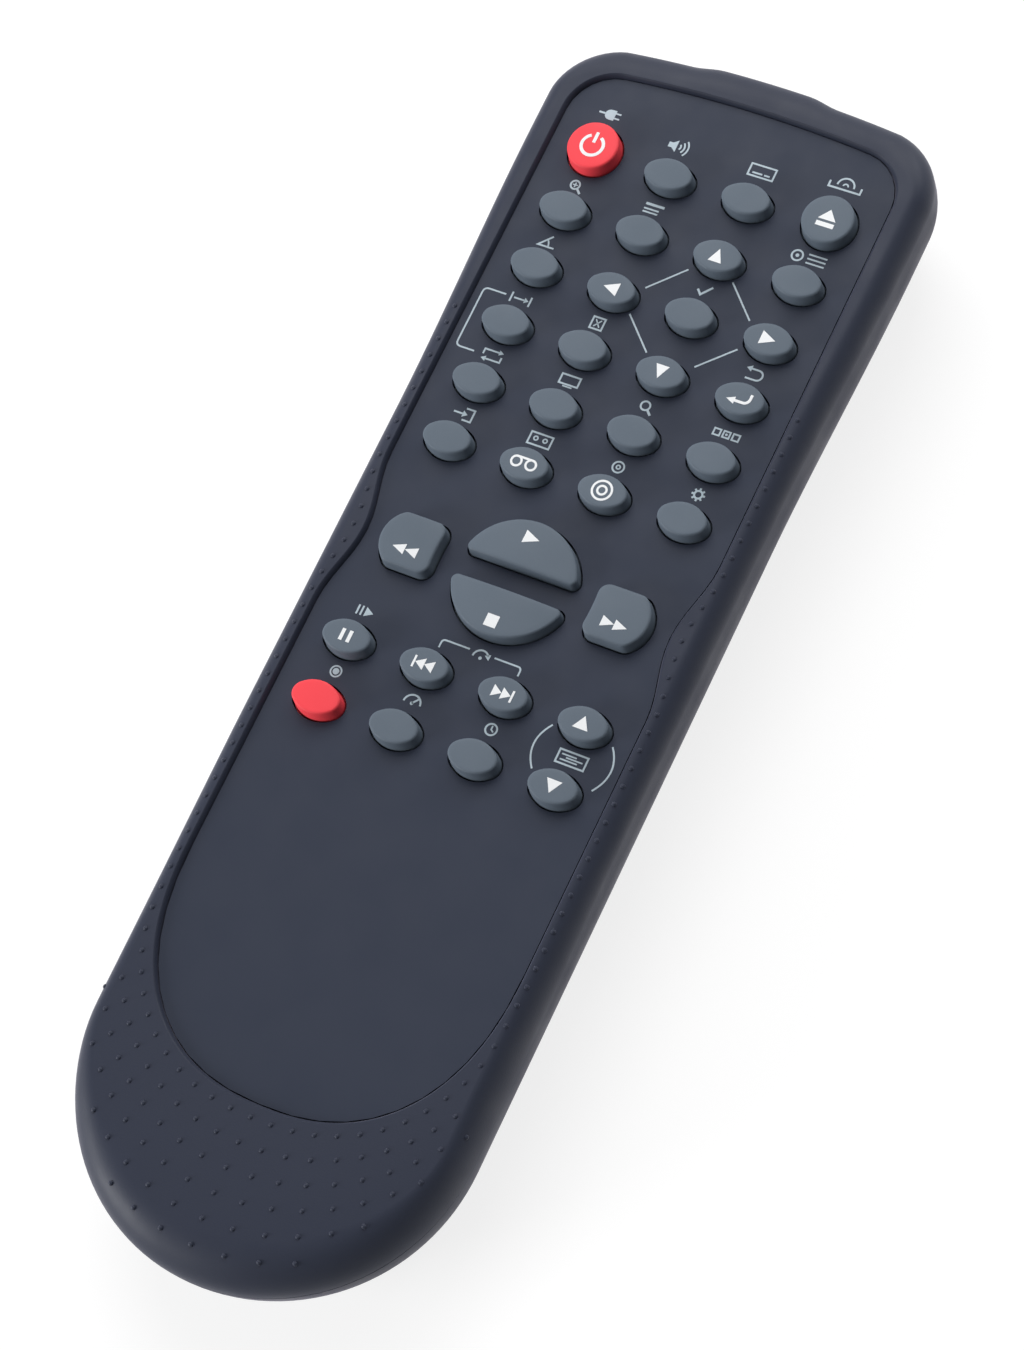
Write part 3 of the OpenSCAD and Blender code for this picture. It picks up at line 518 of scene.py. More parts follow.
def upper_case():
    widths = [shoulder_width(y) for x, y in CASE_RING]
    rises = [shoulder_rise(y) for x, y in CASE_RING]
    inner = inset(PLATE_RING, -CREST)
    outer = inset(CASE_RING, widths)
    crowns = [crown(x, y) for x, y in outer]
    seam, seam_z = seam_depths(0.02), PARTING_Z + SEAM_LIFT
    rings = [lifted(inset(CASE_RING, SEAM_REACH), seam_z),
             lifted(inset(CASE_RING, seam), seam_z),
             lifted(CASE_RING, [seam_z + SEAM_LEAN * d for d in seam])]
    for i in range(SHOULDER_STEPS + 1):
        c = math.cos(math.radians(90 * i / SHOULDER_STEPS))
        heights = [shoulder_height(c, w, rise, room, fall)
                   for w, rise, (room, fall, share) in zip(widths, rises, crowns)]
        rings.append(lifted(inset(CASE_RING, [w * (1 - c) for w in widths]), heights))
    for t in (0.8, 0.6, 0.4, 0.2, 0.0):
        ring = [(p[0] + (q[0] - p[0]) * t, p[1] + (q[1] - p[1]) * t) for p, q in zip(inner, outer)]
        sunk = [fall * share * share for room, fall, share in (crown(x, y) for x, y in ring)]
        rings.append(lifted(ring, [RIM_Z - d for d in sunk]))
    for out, drop in RIM_EDGE:
        rings.append(lifted(inset(PLATE_RING, -RIM_SLOPE - out), RIM_Z - drop))
    rings += [
        lifted(PLATE_RING, PLATE_UNDER),
        lifted(inset(PLATE_RING, LEDGE_W), PLATE_UNDER),
        lifted(inset(PLATE_RING, LEDGE_W), PLATE_UNDER - LEDGE_T),
        lifted(inset(PLATE_RING, -PLATE_POCKET), PLATE_UNDER - LEDGE_T),
    ]
    ceiling = RIM_Z - WALL - 0.2
    side_wall = GRIP_W / 2 - PLATE_W / 2 - SIDE_WALL_T
    under = [PALM_WALL_T if y < GRIP_CY - 1 else side_wall for x, y in CASE_RING]
    rings += [
        lifted(inset(PLATE_RING, -PLATE_POCKET), ceiling),
        lifted(inset(CASE_RING, under), ceiling),
        lifted(inset(CASE_RING, WALL), PARTING_Z + 2),
        lifted(inset(CASE_RING, WALL), PARTING_Z),
        rings[0],
    ]
    bm = bmesh.new()
    raised(bm, rings)
    bmesh.ops.remove_doubles(bm, verts=bm.verts, dist=1e-5)
    bmesh.ops.recalc_face_normals(bm, faces=bm.faces)
    for s in (-1, 1):
        boss = rod_mesh(s * SCREW_X, SCREW_Y, POST_TOP, BOSS_TOP, SCREW_POST_R - 0.3)
        bm = combined(bm, boss, "UNION")
        bore = rod_mesh(s * SCREW_X, SCREW_Y, POST_TOP - 1, BOSS_TOP - BOSS_ROOF_T,
                        SCREW_R + 0.05, 24)
        bm = combined(bm, bore, "DIFFERENCE")
    return combined(bm, window_block(), "DIFFERENCE")


def window_block(gap=0.1):
    """The opening for the infrared window, in both case halves."""
    return box_mesh((-WINDOW_HALF_W - gap, HEAD_Y - 6, WINDOW_LOW - gap),
                    (WINDOW_HALF_W + gap, HEAD_Y + 6, WINDOW_HIGH + gap))


# ---- lower case half ----

FOOT_POWER = 2 / 1.7
LOWER_INSET = 0.02
WALL_ROOT = 0.4


def foot_rings(low, depth, count):
    """Rings from the flat bottom up the rounded underside to the height of the seam."""
    rings = []
    for i in range(count + 1):
        a = math.radians(90 * i / count)
        up = 1 - max(math.cos(a), 0.0) ** FOOT_POWER
        reach = FOOT_REACH * (1 - max(math.sin(a), 0.0) ** FOOT_POWER)
        rings.append(lifted(inset(CASE_RING, depth + reach), low + (PARTING_Z - low) * up))
    return rings


def lower_case():
    outer = foot_rings(0, LOWER_INSET, 20)
    seam = seam_depths(0.04)
    rim = [lifted(inset(CASE_RING, LOWER_INSET), [PARTING_Z - SEAM_LEAN * d for d in seam]),
           lifted(inset(CASE_RING, seam), PARTING_Z),
           lifted(inset(CASE_RING, SEAM_REACH), PARTING_Z)]
    inner = foot_rings(FLOOR_T, WALL, 9)
    bm = bmesh.new()
    closed_skin(bm, outer[:-1] + rim + inner[::-1])
    bmesh.ops.recalc_face_normals(bm, faces=bm.faces)
    reach = HOLE_HALF_W + 0.9
    bay_ys = (BAY_LOW_Y - BAY_WALL, BAY_TOP_Y + BAY_WALL)
    solids = [
        box_mesh((-reach, BAY_TOP_Y, TAB_Z), (reach, bay_ys[1], BAY_TOP_Z)),
        box_mesh((-reach, bay_ys[0], END_WALL_Z), (reach, BAY_LOW_Y, BAY_TOP_Z)),
    ]
    root_z = FLOOR_T - WALL_ROOT
    for s in (-1, 1):
        xs = sorted((s * BAY_HALF_W, s * reach))
        solids.append(box_mesh((xs[0], bay_ys[0], TAB_Z), (xs[1], bay_ys[1], BAY_TOP_Z)))
        xs = sorted((s * HOLE_HALF_W, s * reach))
        solids.append(box_mesh((xs[0], bay_ys[0], root_z), (xs[1], bay_ys[1], TAB_Z + 1)))
        solids.append(rod_mesh(s * SCREW_X, SCREW_Y, root_z, POST_TOP, SCREW_POST_R))
        solids += [rod_mesh(s * POST_X, y, root_z, BOARD_LOW, POST_R, 32) for y in POST_YS]
    for solid in solids:
        bm = combined(bm, solid, "UNION")
    cuts = [box_mesh((-HOLE_HALF_W, HOLE_LOW_Y, -1), (HOLE_HALF_W, HOLE_TOP_Y, FLOOR_T + 0.2)),
            window_block()]
    for s in (-1, 1):
        cuts.append(rod_mesh(s * SCREW_X, SCREW_Y, -1, SEAT_Z, SCREW_HEAD_R))
        cuts.append(rod_mesh(s * SCREW_X, SCREW_Y, -1, POST_TOP + 1, SCREW_R + 0.25))
    for cut in cuts:
        bm = combined(bm, cut, "DIFFERENCE")
    return bm


evened(piece("upper_case", upper_case(), case_plastic, "case", ["top_case"]))
evened(piece("lower_case", lower_case(), lower_plastic, "case", ["bottom_case"]))


# ---- grip dots ----

DOT_R, DOT_H, DOT_SUNK = 0.37, 0.26, 0.02
DOT_TURN = 5.6
PALM_DOT_ROWS = (19, 19, 15, 11, 7)
DOT_ROW_OUT, PALM_ROW_OUT, WAIST_ROW_OUT = 1.25, 0.9, 0.35
PALM_DOT_STEP, SIDE_DOT_STEP = 3.22, 2.85
PALM_DOTS_Y, LAST_DOT_Y = -48, 48.9


def edge_row():
    """The row along the face plate, from the middle of the palm end up the right side."""
    line = inset(PLATE_RING, [-DOT_ROW_OUT - PALM_ROW_OUT * smooth_step((-46 - y) / 12)
                              - WAIST_ROW_OUT * waist_at(y) for x, y in PLATE_RING])
    half = line[:len(line) // 2 + 1]
    places, walked, due, last = [half[0]], 0.0, PALM_DOT_STEP, half[0]
    for p in half[1:]:
        step = math.dist(last, p)
        while walked + step >= due:
            t = (due - walked) / step
            q = (last[0] + (p[0] - last[0]) * t, last[1] + (p[1] - last[1]) * t)
            if q[1] > LAST_DOT_Y:
                return places
            places.append(q)
            due += PALM_DOT_STEP if q[1] < PALM_DOTS_Y else SIDE_DOT_STEP
        walked += step
        last = p
    return places


def dot_places():
    """The row along the face plate on both sides, then the rows that follow it round the palm."""
    row = edge_row()
    places = row + [(-x, y) for x, y in row[1:]]
    palm_row = [(math.atan2(x, PLATE_END_CY - y), math.dist((x, y), (0, PLATE_END_CY)))
                for x, y in row if y < PLATE_END_CY]
    for n, count in enumerate(PALM_DOT_ROWS, start=1):
        for i in range(count):
            turn = math.radians((i - (count - 1) / 2) * DOT_TURN)
            start = min(palm_row, key=lambda p: abs(p[0] - abs(turn)))[1]
            r = start + n * (3.8 - 0.9 * math.sin(2 * turn) ** 2)
            places.append((r * math.sin(turn), PLATE_END_CY - r * math.cos(turn)))
    return places


def grip_dots():
    """Low domes that stand square to the surface under them."""
    bm = bmesh.new()
    for x, y in dot_places():
        up = Vector((rim_height(x - 0.3, y) - rim_height(x + 0.3, y),
                     rim_height(x, y - 0.3) - rim_height(x, y + 0.3), 0.6))
        lean = up.to_track_quat("Z", "Y")
        made = bmesh.ops.create_uvsphere(bm, u_segments=12, v_segments=6, radius=1.0)
        bmesh.ops.scale(bm, vec=(DOT_R, DOT_R, DOT_H), verts=made["verts"])
        bmesh.ops.rotate(bm, matrix=lean.to_matrix(), verts=made["verts"])
        bmesh.ops.translate(bm, vec=(x, y, rim_height(x, y) - DOT_SUNK), verts=made["verts"])
    return bm


piece("grip_dots", grip_dots(), case_plastic, "case", sharp=80.0)


# ---- keys ----

def oval_outline(g):
    """Outline of an oval key, grown by g all round."""
    end_r, half_h, cx = OVAL_END_R, OVAL_HALF_H, OVAL_W / 2 - OVAL_END_R
    k = (cx ** 2 - (half_h - end_r) ** 2) / (2 * (half_h - end_r))
    a = math.degrees(math.atan2(k, cx))
    return (on_arc(cx, 0, end_r + g, -a, a, 14)[:-1]
            + on_arc(0, -k, half_h + k + g, a, 180 - a, 12)[:-1]
            + on_arc(-cx, 0, end_r + g, 180 - a, 180 + a, 14)[:-1]
            + on_arc(0, k, half_h + k + g, 180 + a, 360 - a, 12)[:-1])


def round_outline(g):
    return on_arc(0, 0, ROUND_R + g, 0, 360, 56)[:-1]


def half_disc_outline(g):
    """Outline of the play key, about the middle of the disc that it is cut from."""
    inner = PLAY_R - HALF_CORNER_R
    low = PLAY_CY + HALF_CORNER_R
    x1 = math.sqrt(inner ** 2 - low ** 2)
    a = math.degrees(math.atan2(low, x1))
    return ([(x, PLAY_CY - g) for x in run(-x1, x1, 18)]
            + on_arc(x1, low, HALF_CORNER_R + g, -90, a, 8)[:-1]
            + on_arc(0, 0, PLAY_R + g, a, 180 - a, 32)[:-1]
            + on_arc(-x1, low, HALF_CORNER_R + g, 180 - a, 270, 8)[:-1])


def wing_outline(g):
    """Outline of the forward key, about the middle of the case."""
    r, half_h, hollow_r = WING_CORNER_R, WING_H / 2 - WING_CORNER_R, WING_HOLLOW_R
    end_cx = WING_X + WING_W - WING_R
    hollow_cx = WING_X + WING_HOLLOW - hollow_r
    in_x = hollow_cx + math.sqrt((hollow_r + r) ** 2 - half_h ** 2)
    lean = math.degrees(math.asin(half_h / (hollow_r + r)))
    out_x = end_cx + math.sqrt((WING_R - r) ** 2 - half_h ** 2)
    a = math.degrees(math.atan2(half_h, out_x - end_cx))
    half = (on_arc(end_cx, 0, WING_R + g, 0, a, 10)[:-1]
            + on_arc(out_x, half_h, r + g, a, 90, 5)[:-1]
            + [(x, WING_H / 2 + g) for x in run(out_x, in_x, 8)]
            + on_arc(in_x, half_h, r + g, 90, 180 + lean, 8)[:-1]
            + on_arc(hollow_cx, 0, hollow_r - g, lean, 0, 6))
    return half + [(x, -y) for x, y in half[-2:0:-1]]


def mirrored(outline, sx, sy):
    """The same outline turned over to the left (sx = -1) or downwards (sy = -1)."""
    return lambda g: [(sx * x, sy * y) for x, y in outline(g)][::sx * sy]


def dome_z(x, y):
    """How far the top of a key has sunk at a place measured from its stem."""
    return (x * x + y * y) / (2 * KEY_DOME_R)


CAP_EDGE_R, CAP_EDGE_STEPS, CAP_DRAFT, CAP_FOOT = 0.38, 5, 0.1, 0.06
CAP_TOP_RINGS = (0.86, 0.66, 0.42, 0.2)


def key_mesh(outline, sx, sy):
    """A key: stem with its pill, flange, drafted cap, rounded edge and shallow dome.
    sx, sy is the place of its stem."""
    def stem(r, z):
        turns = [math.atan2(y - sy, x - sx) for x, y in outline(0)]
        return [(sx + r * math.cos(a), sy + r * math.sin(a), z) for a in turns]

    rings = [stem(PILL_R, PILL_LOW), stem(PILL_R, PILL_LOW + PILL_T),
             stem(STEM_R, PILL_LOW + PILL_T), stem(STEM_R, FLANGE_LOW)]
    for g, z in ((FLANGE_W + KEY_GAP, FLANGE_LOW), (FLANGE_W + KEY_GAP, FLANGE_LOW + FLANGE_T),
                 (CAP_FOOT, FLANGE_LOW + FLANGE_T), (CAP_FOOT, PLATE_Z - 0.2)):
        rings.append(lifted(outline(g), z))
    cap = [lifted(outline(-CAP_DRAFT), KEY_TOP - CAP_EDGE_R)]
    for i in range(1, CAP_EDGE_STEPS + 1):
        a = math.radians(90 * i / CAP_EDGE_STEPS)
        cap.append(lifted(outline(-CAP_DRAFT - CAP_EDGE_R * (1 - math.cos(a))),
                          KEY_TOP - CAP_EDGE_R * (1 - math.sin(a))))
    edge = outline(-CAP_DRAFT - CAP_EDGE_R)
    for k in CAP_TOP_RINGS:
        cap.append([(sx + (x - sx) * k, sy + (y - sy) * k, KEY_TOP) for x, y in edge])
    for ring in cap:
        rings.append([(x, y, z - dome_z(x - sx, y - sy)) for x, y, z in ring])
    bm = bmesh.new()
    bmesh.ops.poke(bm, faces=[closed_skin(bm, rings)])
    return bm


KEY_ROWS = (
    (0, ("", "audio", "subtitle", "")),
    (1, ("zoom", "title", "up", "menu")),
    (2, ("angle", "left", "enter", "right")),
    (3, ("section", "clear", "down", "return")),
    (4, ("repeat", "display", "search", "mode")),
    (5, ("input", "tape", "disc", "setup")),
    (LOWER_ROW, ("pause", "skip_back", "skip_next", "track_up")),
    (LOWER_ROW + 1, ("record", "speed", "timer", "track_down")),
)
KEY_PLACES = {name: (col_x(c), row_y(row)) for row, names in KEY_ROWS
              for c, name in enumerate(names) if name}
KEY_PLACES.update(power=(-ROUND_X, ROUND_Y), eject=(ROUND_X, ROUND_Y), play=(0.0, BIG_Y),
                  stop=(0.0, BIG_Y), rewind=(0.0, BIG_Y), forward=(0.0, BIG_Y))
KEY_OUTLINES = {"power": round_outline, "eject": round_outline, "play": half_disc_outline,
                "stop": mirrored(half_disc_outline, 1, -1), "rewind": mirrored(wing_outline, -1, 1),
                "forward": wing_outline}
STEMS = {"play": (0.0, PLAY_STEM_Y), "stop": (0.0, -PLAY_STEM_Y), "rewind": (-WING_CX, 0.0),
         "forward": (WING_CX, 0.0)}

for name, (x, y) in KEY_PLACES.items():
    bm = key_mesh(KEY_OUTLINES.get(name, oval_outline), *STEMS.get(name, (0.0, 0.0)))
    bmesh.ops.translate(bm, vec=(x, y, 0), verts=bm.verts)
    red = name in ("power", "record")
    piece("cap_" + name, bm, red_rubber if red else grey_rubber, "key_" + name,
          ["key_" + name], sharp=50.0)


# ---- printed marks ----

INK_SUNK, SIGN_T, LABEL_T, LABEL_LINE_W = 0.03, 0.035, 0.025, 0.26


def patch(bm, points):
    """A filled shape with one corner at each point."""
    bm.faces.new([bm.verts.new((x, y, 0)) for x, y in points])


def stroke(bm, points, width=0.3, closed=False):
    """A line of even width along points, with mitred bends."""
    n = len(points)
    sides = []
    for i, (x, y) in enumerate(points):
        before = points[i - 1] if i > 0 or closed else None
        after = points[(i + 1) % n] if i < n - 1 or closed else None
        ways = []
        if before:
            ways.append(Vector((x - before[0], y - before[1])).normalized())
        if after:
            ways.append(Vector((after[0] - x, after[1] - y)).normalized())
        way = sum(ways, Vector((0, 0))).normalized()
        across = Vector((-way.y, way.x))
        stretch = width / 2 / max(across.dot(Vector((-ways[0].y, ways[0].x))), 0.4)
        sides.append([bm.verts.new((x + across.x * k * stretch, y + across.y * k * stretch, 0))
                      for k in (-1, 1)])
    for i in range(n if closed else n - 1):
        a, b = sides[i], sides[(i + 1) % n]
        bm.faces.new((a[0], b[0], b[1], a[1]))


def hoop(bm, x, y, r, width=0.3, start=0.0, end=360.0):
    """A ring of outer radius r, or the part of it from start to end degrees."""
    full = end - start >= 360
    count = max(int((end - start) / 12), 4)
    points = on_arc(x, y, r - width / 2, start, end, count)
    stroke(bm, points[:-1] if full else points, width, full)


def spot(bm, x, y, r):
    patch(bm, on_arc(x, y, r, 0, 360, 24)[:-1])


def frame_line(bm, x0, y0, x1, y1, width=0.28):
    stroke(bm, [(x0, y0), (x1, y0), (x1, y1), (x0, y1)], width, True)


def printed(bm, height, thick):
    """Gives flat marks their thickness, on a surface of the given height."""
    bmesh.ops.recalc_face_normals(bm, faces=bm.faces)
    for face in bm.faces:
        if face.normal.z < 0:
            face.normal_flip()
    made = bmesh.ops.extrude_face_region(bm, geom=bm.faces[:])["geom"]
    upper = {v for v in made if isinstance(v, bmesh.types.BMVert)}
    for vert in bm.verts:
        vert.co.z = height(vert.co.x, vert.co.y) + (thick if vert in upper else -INK_SUNK)
    return bm


def arrow(bm, x, y, w, h, turn):
    """A filled triangle w wide at its base and h long, pointing turn degrees from upwards."""
    c, s = math.cos(math.radians(turn)), math.sin(math.radians(turn))
    points = [(0, h / 2), (-w / 2, -h / 2), (w / 2, -h / 2)]
    patch(bm, [(x + px * c - py * s, y + px * s + py * c) for px, py in points])


def bar(bm, x0, y0, x1, y1):
    """A filled upright rectangle between two corners."""
    patch(bm, [(x0, y0), (x1, y0), (x1, y1), (x0, y1)])


def sign_power(bm):
    hoop(bm, 0, -0.1, 1.95, 0.5, 118, 422)
    stroke(bm, [(0, 0.35), (0, 2.15)], 0.5)


def sign_eject(bm):
    patch(bm, [(0, 1.45), (-1.4, -0.3), (1.4, -0.3)])
    bar(bm, -1.4, -1.45, 1.4, -0.72)


def sign_return(bm):
    bend = on_arc(0.75, 0.3, 0.85, 0, -90, 6)
    stroke(bm, [(1.6, 1.05)] + bend + [(-0.9, -0.55)], 0.42)
    arrow(bm, -1.2, -0.55, 1.15, 1.3, 90)


def sign_tape(bm):
    hoop(bm, -1.17, 0, 0.95, 0.34)
    hoop(bm, 1.17, 0, 0.95, 0.34)
    stroke(bm, [(-1.17, 0.78), (1.17, 0.78)], 0.34)


def sign_disc(bm):
    hoop(bm, 0, 0, 1.65, 0.34)
    hoop(bm, 0, 0, 0.85, 0.34)


def sign_pause(bm):
    bar(bm, -0.88, -0.92, -0.33, 0.92)
    bar(bm, 0.33, -0.92, 0.88, 0.92)


def sign_skip(bm, s):
    left, right = sorted((s * 1.35, s * 1.68))
    bar(bm, left, -0.92, right, 0.92)
    for x in (-0.85, 0.6):
        arrow(bm, s * x, 0, 1.84, 1.45, -90 * s)


def sign_wind(bm, s):
    for x in (-1.0, 1.0):
        arrow(bm, s * x + s * WING_CX, -1.5, 1.66, 2.0, -90 * s)


KEY_SIGNS = {
    "power": sign_power,
    "eject": sign_eject,
    "up": lambda bm: arrow(bm, 0, 0, 2.1, 2.2, 0),
    "down": lambda bm: arrow(bm, 0, 0, 2.1, 2.2, 180),
    "left": lambda bm: arrow(bm, 0, 0, 2.2, 2.3, 90),
    "right": lambda bm: arrow(bm, 0, 0, 2.2, 2.3, -90),
    "return": sign_return,
    "tape": sign_tape,
    "disc": sign_disc,
    "pause": sign_pause,
    "skip_back": lambda bm: sign_skip(bm, -1),
    "skip_next": lambda bm: sign_skip(bm, 1),
    "track_up": lambda bm: arrow(bm, 0, 0.1, 2.4, 2.05, 0),
    "track_down": lambda bm: arrow(bm, 0, -0.1, 2.4, 2.05, 180),
    "play": lambda bm: arrow(bm, 0, 6.45, 2.05, 2.4, -90),
    "stop": lambda bm: bar(bm, -0.95, -8.05, 0.95, -6.15),
    "rewind": lambda bm: sign_wind(bm, -1),
    "forward": lambda bm: sign_wind(bm, 1),
}

for name, draw in KEY_SIGNS.items():
    bm = bmesh.new()
    draw(bm)
    sx, sy = STEMS.get(name, (0.0, 0.0))
    printed(bm, lambda x, y, sx=sx, sy=sy: KEY_TOP - dome_z(x - sx, y - sy), SIGN_T)
    bmesh.ops.translate(bm, vec=(*KEY_PLACES[name], 0), verts=bm.verts)
    piece("sign_" + name, bm, white_ink, "key_" + name)


# ---- pictograms and lines on the face plate, each about its own place ----

def pic_plug(bm):
    back = on_arc(-0.35, 0, 0.85, 90, 270, 12)
    patch(bm, [(0.45, 0.85)] + back + [(0.45, -0.85)])
    for y in (-0.42, 0.42):
        bar(bm, 0.45, y - 0.13, 1.3, y + 0.13)
    stroke(bm, [(-1.15, 0), (-2.2, 0)], 0.3)


def pic_speaker(bm):
    patch(bm, [(-1.7, -0.42), (-1.1, -0.42), (-0.35, -1.0),
               (-0.35, 1.0), (-1.1, 0.42), (-1.7, 0.42)])
    for r in (0.75, 1.35, 1.95):
        hoop(bm, -0.35, 0, r, 0.26, -42, 42)


def pic_subtitle(bm):
    frame_line(bm, -2.0, -0.95, 2.0, 0.95)
    bar(bm, -1.4, -0.55, 0.2, -0.28)
    bar(bm, 0.5, -0.55, 1.4, -0.28)


def pic_tray(bm):
    stroke(bm, [(-2.5, 0.0), (-2.5, -0.95), (2.5, -0.95), (2.5, 0.0)], 0.3)
    hoop(bm, 0, -0.35, 1.45, 0.28, 0, 180)
    hoop(bm, 0, -0.35, 0.5, 0.24, 0, 180)


def pic_lens(bm, plus):
    hoop(bm, -0.3, 0.25, 0.85, 0.28)
    stroke(bm, [(0.3, -0.35), (0.95, -1.0)], 0.36)
    if plus:
        bar(bm, -0.7, 0.15, 0.1, 0.35)
        bar(bm, -0.4, -0.15, -0.2, 0.15)
        bar(bm, -0.4, 0.35, -0.2, 0.65)


def pic_heading(bm):
    bar(bm, -1.5, 0.55, 1.5, 0.95)
    for y in (-0.05, -0.6):
        bar(bm, -1.5, y - 0.13, 0.9, y + 0.13)


def pic_disc_list(bm):
    hoop(bm, -1.9, 0, 0.98, 0.28)
    spot(bm, -1.9, 0, 0.28)
    for y in (-0.7, 0.0, 0.7):
        bar(bm, -0.3, y - 0.13, 2.6, y + 0.13)


def pic_angle(bm):
    stroke(bm, [(1.3, -0.9), (-1.3, -0.9), (0.5, 0.95)], 0.28)
    hoop(bm, -1.3, -0.9, 1.75, 0.24, 4, 42)


def pic_tick(bm):
    stroke(bm, [(-1.0, 0.0), (-0.3, -0.75), (1.1, 0.85)], 0.34)


def pic_section(bm):
    for x in (-1.55, 1.55):
        bar(bm, x - 0.14, -0.8, x + 0.14, 0.8)
    stroke(bm, [(-1.1, 0), (0.7, 0)], 0.26)
    arrow(bm, 0.95, 0, 0.9, 0.7, -90)


def pic_cross(bm):
    frame_line(bm, -0.95, -0.95, 0.95, 0.95)
    for s in (-1, 1):
        patch(bm, [(-0.5, -s * 0.62), (-0.36, -s * 0.62), (0.5, s * 0.48), (0.5, s * 0.62),
                   (0.36, s * 0.62), (-0.5, -s * 0.48)][::s])


def pic_back(bm):
    hoop(bm, 0.3, 0, 0.95, 0.28, -90, 90)
    stroke(bm, [(0.3, 0.81), (-0.9, 0.81)], 0.28)
    stroke(bm, [(0.3, -0.81), (-1.3, -0.81)], 0.28)
    arrow(bm, -1.25, 0.81, 1.0, 0.8, 90)


def pic_loop(bm):
    for s in (-1, 1):
        stroke(bm, [(-s * 1.5, -s * 0.1), (-s * 1.5, s * 0.75), (s * 0.9, s * 0.75)], 0.27)
        arrow(bm, s * 1.2, s * 0.75, 0.85, 0.75, -90 * s)


def pic_screen(bm):
    frame_line(bm, -1.5, -0.55, 1.5, 0.95)
    bar(bm, -0.75, -1.0, 0.75, -0.78)


def pic_mode(bm):
    for x in (-1.5, 0.0, 1.5):
        frame_line(bm, x - 0.5, -0.5, x + 0.5, 0.5, 0.26)
    spot(bm, 0, 0, 0.2)


def pic_input(bm):
    stroke(bm, [(0.1, -0.95), (1.5, -0.95), (1.5, 0.95), (0.1, 0.95)], 0.28)
    stroke(bm, [(-1.6, 0), (-0.1, 0)], 0.28)
    arrow(bm, 0.25, 0, 1.05, 0.8, -90)


def pic_cassette(bm):
    frame_line(bm, -1.75, -0.95, 1.75, 0.95)
    for x in (-0.75, 0.75):
        hoop(bm, x, 0.1, 0.42, 0.22)


def pic_disc(bm):
    hoop(bm, 0, 0, 1.0, 0.26)
    hoop(bm, 0, 0, 0.4, 0.22)


def pic_gear(bm):
    hoop(bm, 0, 0, 0.75, 0.3)
    for i in range(8):
        c, s = math.cos(i * math.pi / 4), math.sin(i * math.pi / 4)
        stroke(bm, [(0.72 * c, 0.72 * s), (1.05 * c, 1.05 * s)], 0.3)


def pic_still(bm):
    for x in (-1.2, -0.55):
        bar(bm, x - 0.14, -0.75, x + 0.14, 0.75)
    arrow(bm, 0.65, 0, 1.5, 1.3, -90)


def pic_hop(bm):
    hoop(bm, 0, -0.65, 1.35, 0.28, 32, 180)
    arrow(bm, 1.12, -0.25, 0.95, 0.85, 205)
    spot(bm, 0, -0.65, 0.26)


def pic_record(bm):
    hoop(bm, 0, 0, 0.95, 0.24)
    spot(bm, 0, 0, 0.5)


def pic_gauge(bm):
    hoop(bm, 0, -0.6, 1.45, 0.28, 0, 180)
    stroke(bm, [(0, -0.6), (0.75, 0.3)], 0.28)
    spot(bm, 0, -0.6, 0.26)


def pic_clock(bm):
    hoop(bm, 0, 0, 1.0, 0.27)
    stroke(bm, [(0, 0.58), (0, 0.0), (0.42, -0.3)], 0.22)


def pic_picture_lines(bm):
    frame_line(bm, -2.2, -1.0, 2.2, 1.0)
    for y, x0, x1 in ((0.4, -1.7, 0.6), (0.0, -0.9, 1.7), (-0.42, -1.7, 1.0)):
        bar(bm, x0, y - 0.11, x1, y + 0.11)


LABELS = (
    (pic_plug, -19.4, 84.4), (pic_speaker, -7.5, 82.7), (pic_subtitle, 6.1, 82.8),
    (pic_tray, 18.8, 84.9), (lambda bm: pic_lens(bm, True), -19.4, 71.6),
    (pic_heading, -6.7, 71.8), (pic_disc_list, 18.6, 71.9), (pic_angle, -19.5, 61.9),
    (pic_tick, 6.1, 62.1), (pic_section, -19.25, 51.8), (pic_cross, -6.6, 52.0),
    (pic_back, 18.9, 52.1), (pic_loop, -19.25, 42.0), (pic_screen, -6.5, 42.0),
    (lambda bm: pic_lens(bm, False), 6.1, 42.0), (pic_mode, 18.9, 42.0),
    (pic_input, -19.15, 32.0), (pic_cassette, -6.5, 32.0), (pic_disc, 6.2, 32.0),
    (pic_gear, 19.0, 32.0), (pic_still, -18.95, -1.35), (pic_hop, 0.1, -1.3),
    (pic_record, -18.85, -11.2), (pic_gauge, -6.2, -11.1), (pic_clock, 6.4, -11.2),
    (pic_picture_lines, 19.2, -11.2),
)


def bow(x0, y0, x1, y1, depth, n=12):
    """A shallow arc from one point to another that swells sideways by depth."""
    points = []
    for i in range(n + 1):
        t = i / n
        swell = depth * (1 - (2 * t - 1) ** 2)
        points.append((x0 + (x1 - x0) * t + swell, y0 + (y1 - y0) * t))
    return points


def rounded_turns(points, r):
    """The line through points with each bend rounded."""
    result = [points[0]]
    for before, here, after in zip(points, points[1:], points[2:]):
        a = Vector(before) - Vector(here)
        b = Vector(after) - Vector(here)
        start = Vector(here) + a.normalized() * r
        end = Vector(here) + b.normalized() * r
        for i in range(5):
            t = i / 4
            bend = start * (1 - t) ** 2 + Vector(here) * 2 * t * (1 - t) + end * t * t
            result.append(tuple(bend))
    return result + [points[-1]]


